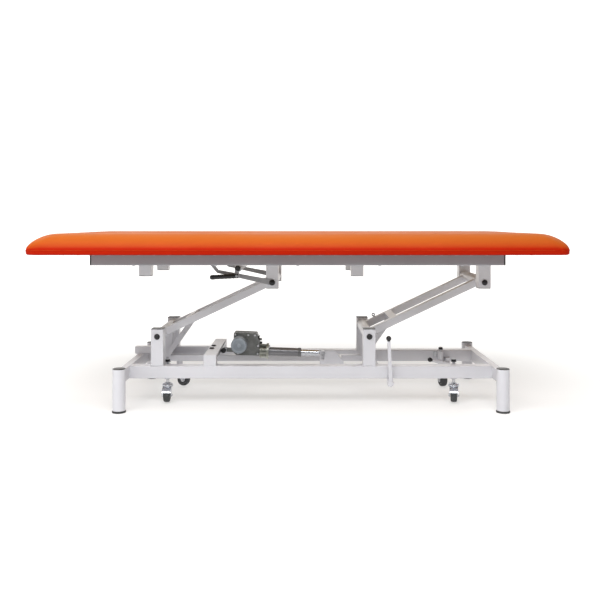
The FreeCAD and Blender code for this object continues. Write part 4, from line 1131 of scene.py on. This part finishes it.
def make_catch_plate():
    """A small screwed plate on the inner side of the far base rail."""
    low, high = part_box("base_rail_far")
    lever = JOINTS["castor_lever_far_turn"]["pos_m"]
    centre = (lever[0] - 51 * MM, low.y, high.z - 17 * MM)
    shape = add_stacked(bmesh.new(), [
        (11, 12.5, 2, -1), (11, 12.5, 2, 2.2), (10.2, 11.7, 2, 3.0),
    ], centre, -Y)
    show("catch_plate", shape, "zinc_steel", "base")


def dress_cad_nodes():
    """Every CAD node that still shows gets its procedural finish."""
    for name, item in frame["nodes"].items():
        if item.hide_render:
            continue
        for place_in_list in range(max(1, len(item.data.materials))):
            if len(item.material_slots) <= place_in_list:
                item.data.materials.append(None)
            item.material_slots[place_in_list].material = FINISHES[SLOT_OF[name]]


# ---- stage, lights and camera ---------------------------------------------------------------------------

def stage_sheet(name, corners, finish):
    mesh = bpy.data.meshes.new(name)
    mesh.from_pydata(corners, [], [(0, 1, 2, 3)])
    mesh.materials.append(finish)
    item = bpy.data.objects.new(name, mesh)
    bpy.context.scene.collection.objects.link(item)


def make_stage():
    """A white floor that glows a little, most where the open floor shows, and a white back wall."""
    glow = (1, 0.985, 0.96, 1)
    paper = new_finish("floor_paper", Base_Color=(0.5, 0.5, 0.5, 1), Roughness=0.8, Specular_IOR_Level=0.1,
                       Emission_Color=glow)
    place = add_node(paper, "ShaderNodeTexCoord").outputs["Object"]
    reach = add_node(paper, "ShaderNodeVectorMath", {0: place}, operation="LENGTH").outputs["Value"]
    depth = add_node(paper, "ShaderNodeSeparateXYZ", {"Vector": place}).outputs["Y"]
    outward = spread(paper, reach, 0.46, 0.90, 0.7, 2.4)
    in_front = spread(paper, depth, 0.15, 1.0, -2.7, -1.9)
    drive(paper, "Emission Strength", add_node(
        paper, "ShaderNodeMath", {0: outward, 1: in_front}, operation="MULTIPLY",
    ).outputs[0])
    stage_sheet("floor", [(-30, -30, 0), (30, -30, 0), (30, 30, 0), (-30, 30, 0)], paper)
    wall = new_finish("wall_paper", Base_Color=(0.5, 0.5, 0.5, 1), Emission_Color=glow, Emission_Strength=0.95)
    stage_sheet("wall", [(-14, 7, 0), (14, 7, 0), (14, 7, 9), (-14, 7, 9)], wall)


def add_light(name, location, target, width, height, watts):
    light = bpy.data.lights.new(name, "AREA")
    light.shape = "RECTANGLE"
    light.size, light.size_y, light.energy = width, height, watts
    item = bpy.data.objects.new(name, light)
    item.location = location
    item.rotation_mode = "QUATERNION"
    item.rotation_quaternion = (Vector(target) - Vector(location)).to_track_quat("-Z", "Y")
    bpy.context.scene.collection.objects.link(item)


def make_lights():
    world = bpy.data.worlds.new("studio")
    bpy.context.scene.world = world
    world.use_nodes = True
    world.node_tree.nodes["Background"].inputs["Color"].default_value = (1, 1, 1, 1)
    world.node_tree.nodes["Background"].inputs["Strength"].default_value = 0.16
    add_light("front_soft", (-0.7, -3.1, 3.1), (0, -0.2, 0.2), 4.0, 1.3, 125)
    add_light("overhead", (-0.3, -1.5, 3.4), (0, -0.1, 0.1), 4.0, 1.0, 75)
    add_light("left_fill", (-3.1, -2.0, 0.9), (-0.9, -0.4, 0.4), 1.2, 1.2, 14)
    bpy.context.scene.view_settings.view_transform = "Standard"


def make_camera():
    camera = bpy.data.cameras.new("camera")
    camera.lens = 45
    camera.sensor_width = 36
    camera.shift_x = -4 / 600
    camera.shift_y = -78 / 600
    item = bpy.data.objects.new("camera", camera)
    item.location = (0.0233, -3.221, 0.736)
    item.rotation_euler = (math.pi / 2, 0, 0)
    bpy.context.scene.collection.objects.link(item)
    bpy.context.scene.camera = item


make_stage()
make_lights()
make_camera()
make_tubes()
make_legs()
make_square_caps()
make_bolts()
make_base_welds()
make_arm_welds()
make_pad()
make_staples()
make_motor()
make_gearbox()
make_flange()
make_spindle()
for castor in CASTORS:
    make_castor(castor)
make_stems()
for side_name in ("near", "far"):
    make_ball(side_name)
make_hand_lever()
make_lock_knob()
make_pad_screws()
make_cable_eye()
make_lever_bosses()
make_catch_plate()
dress_cad_nodes()
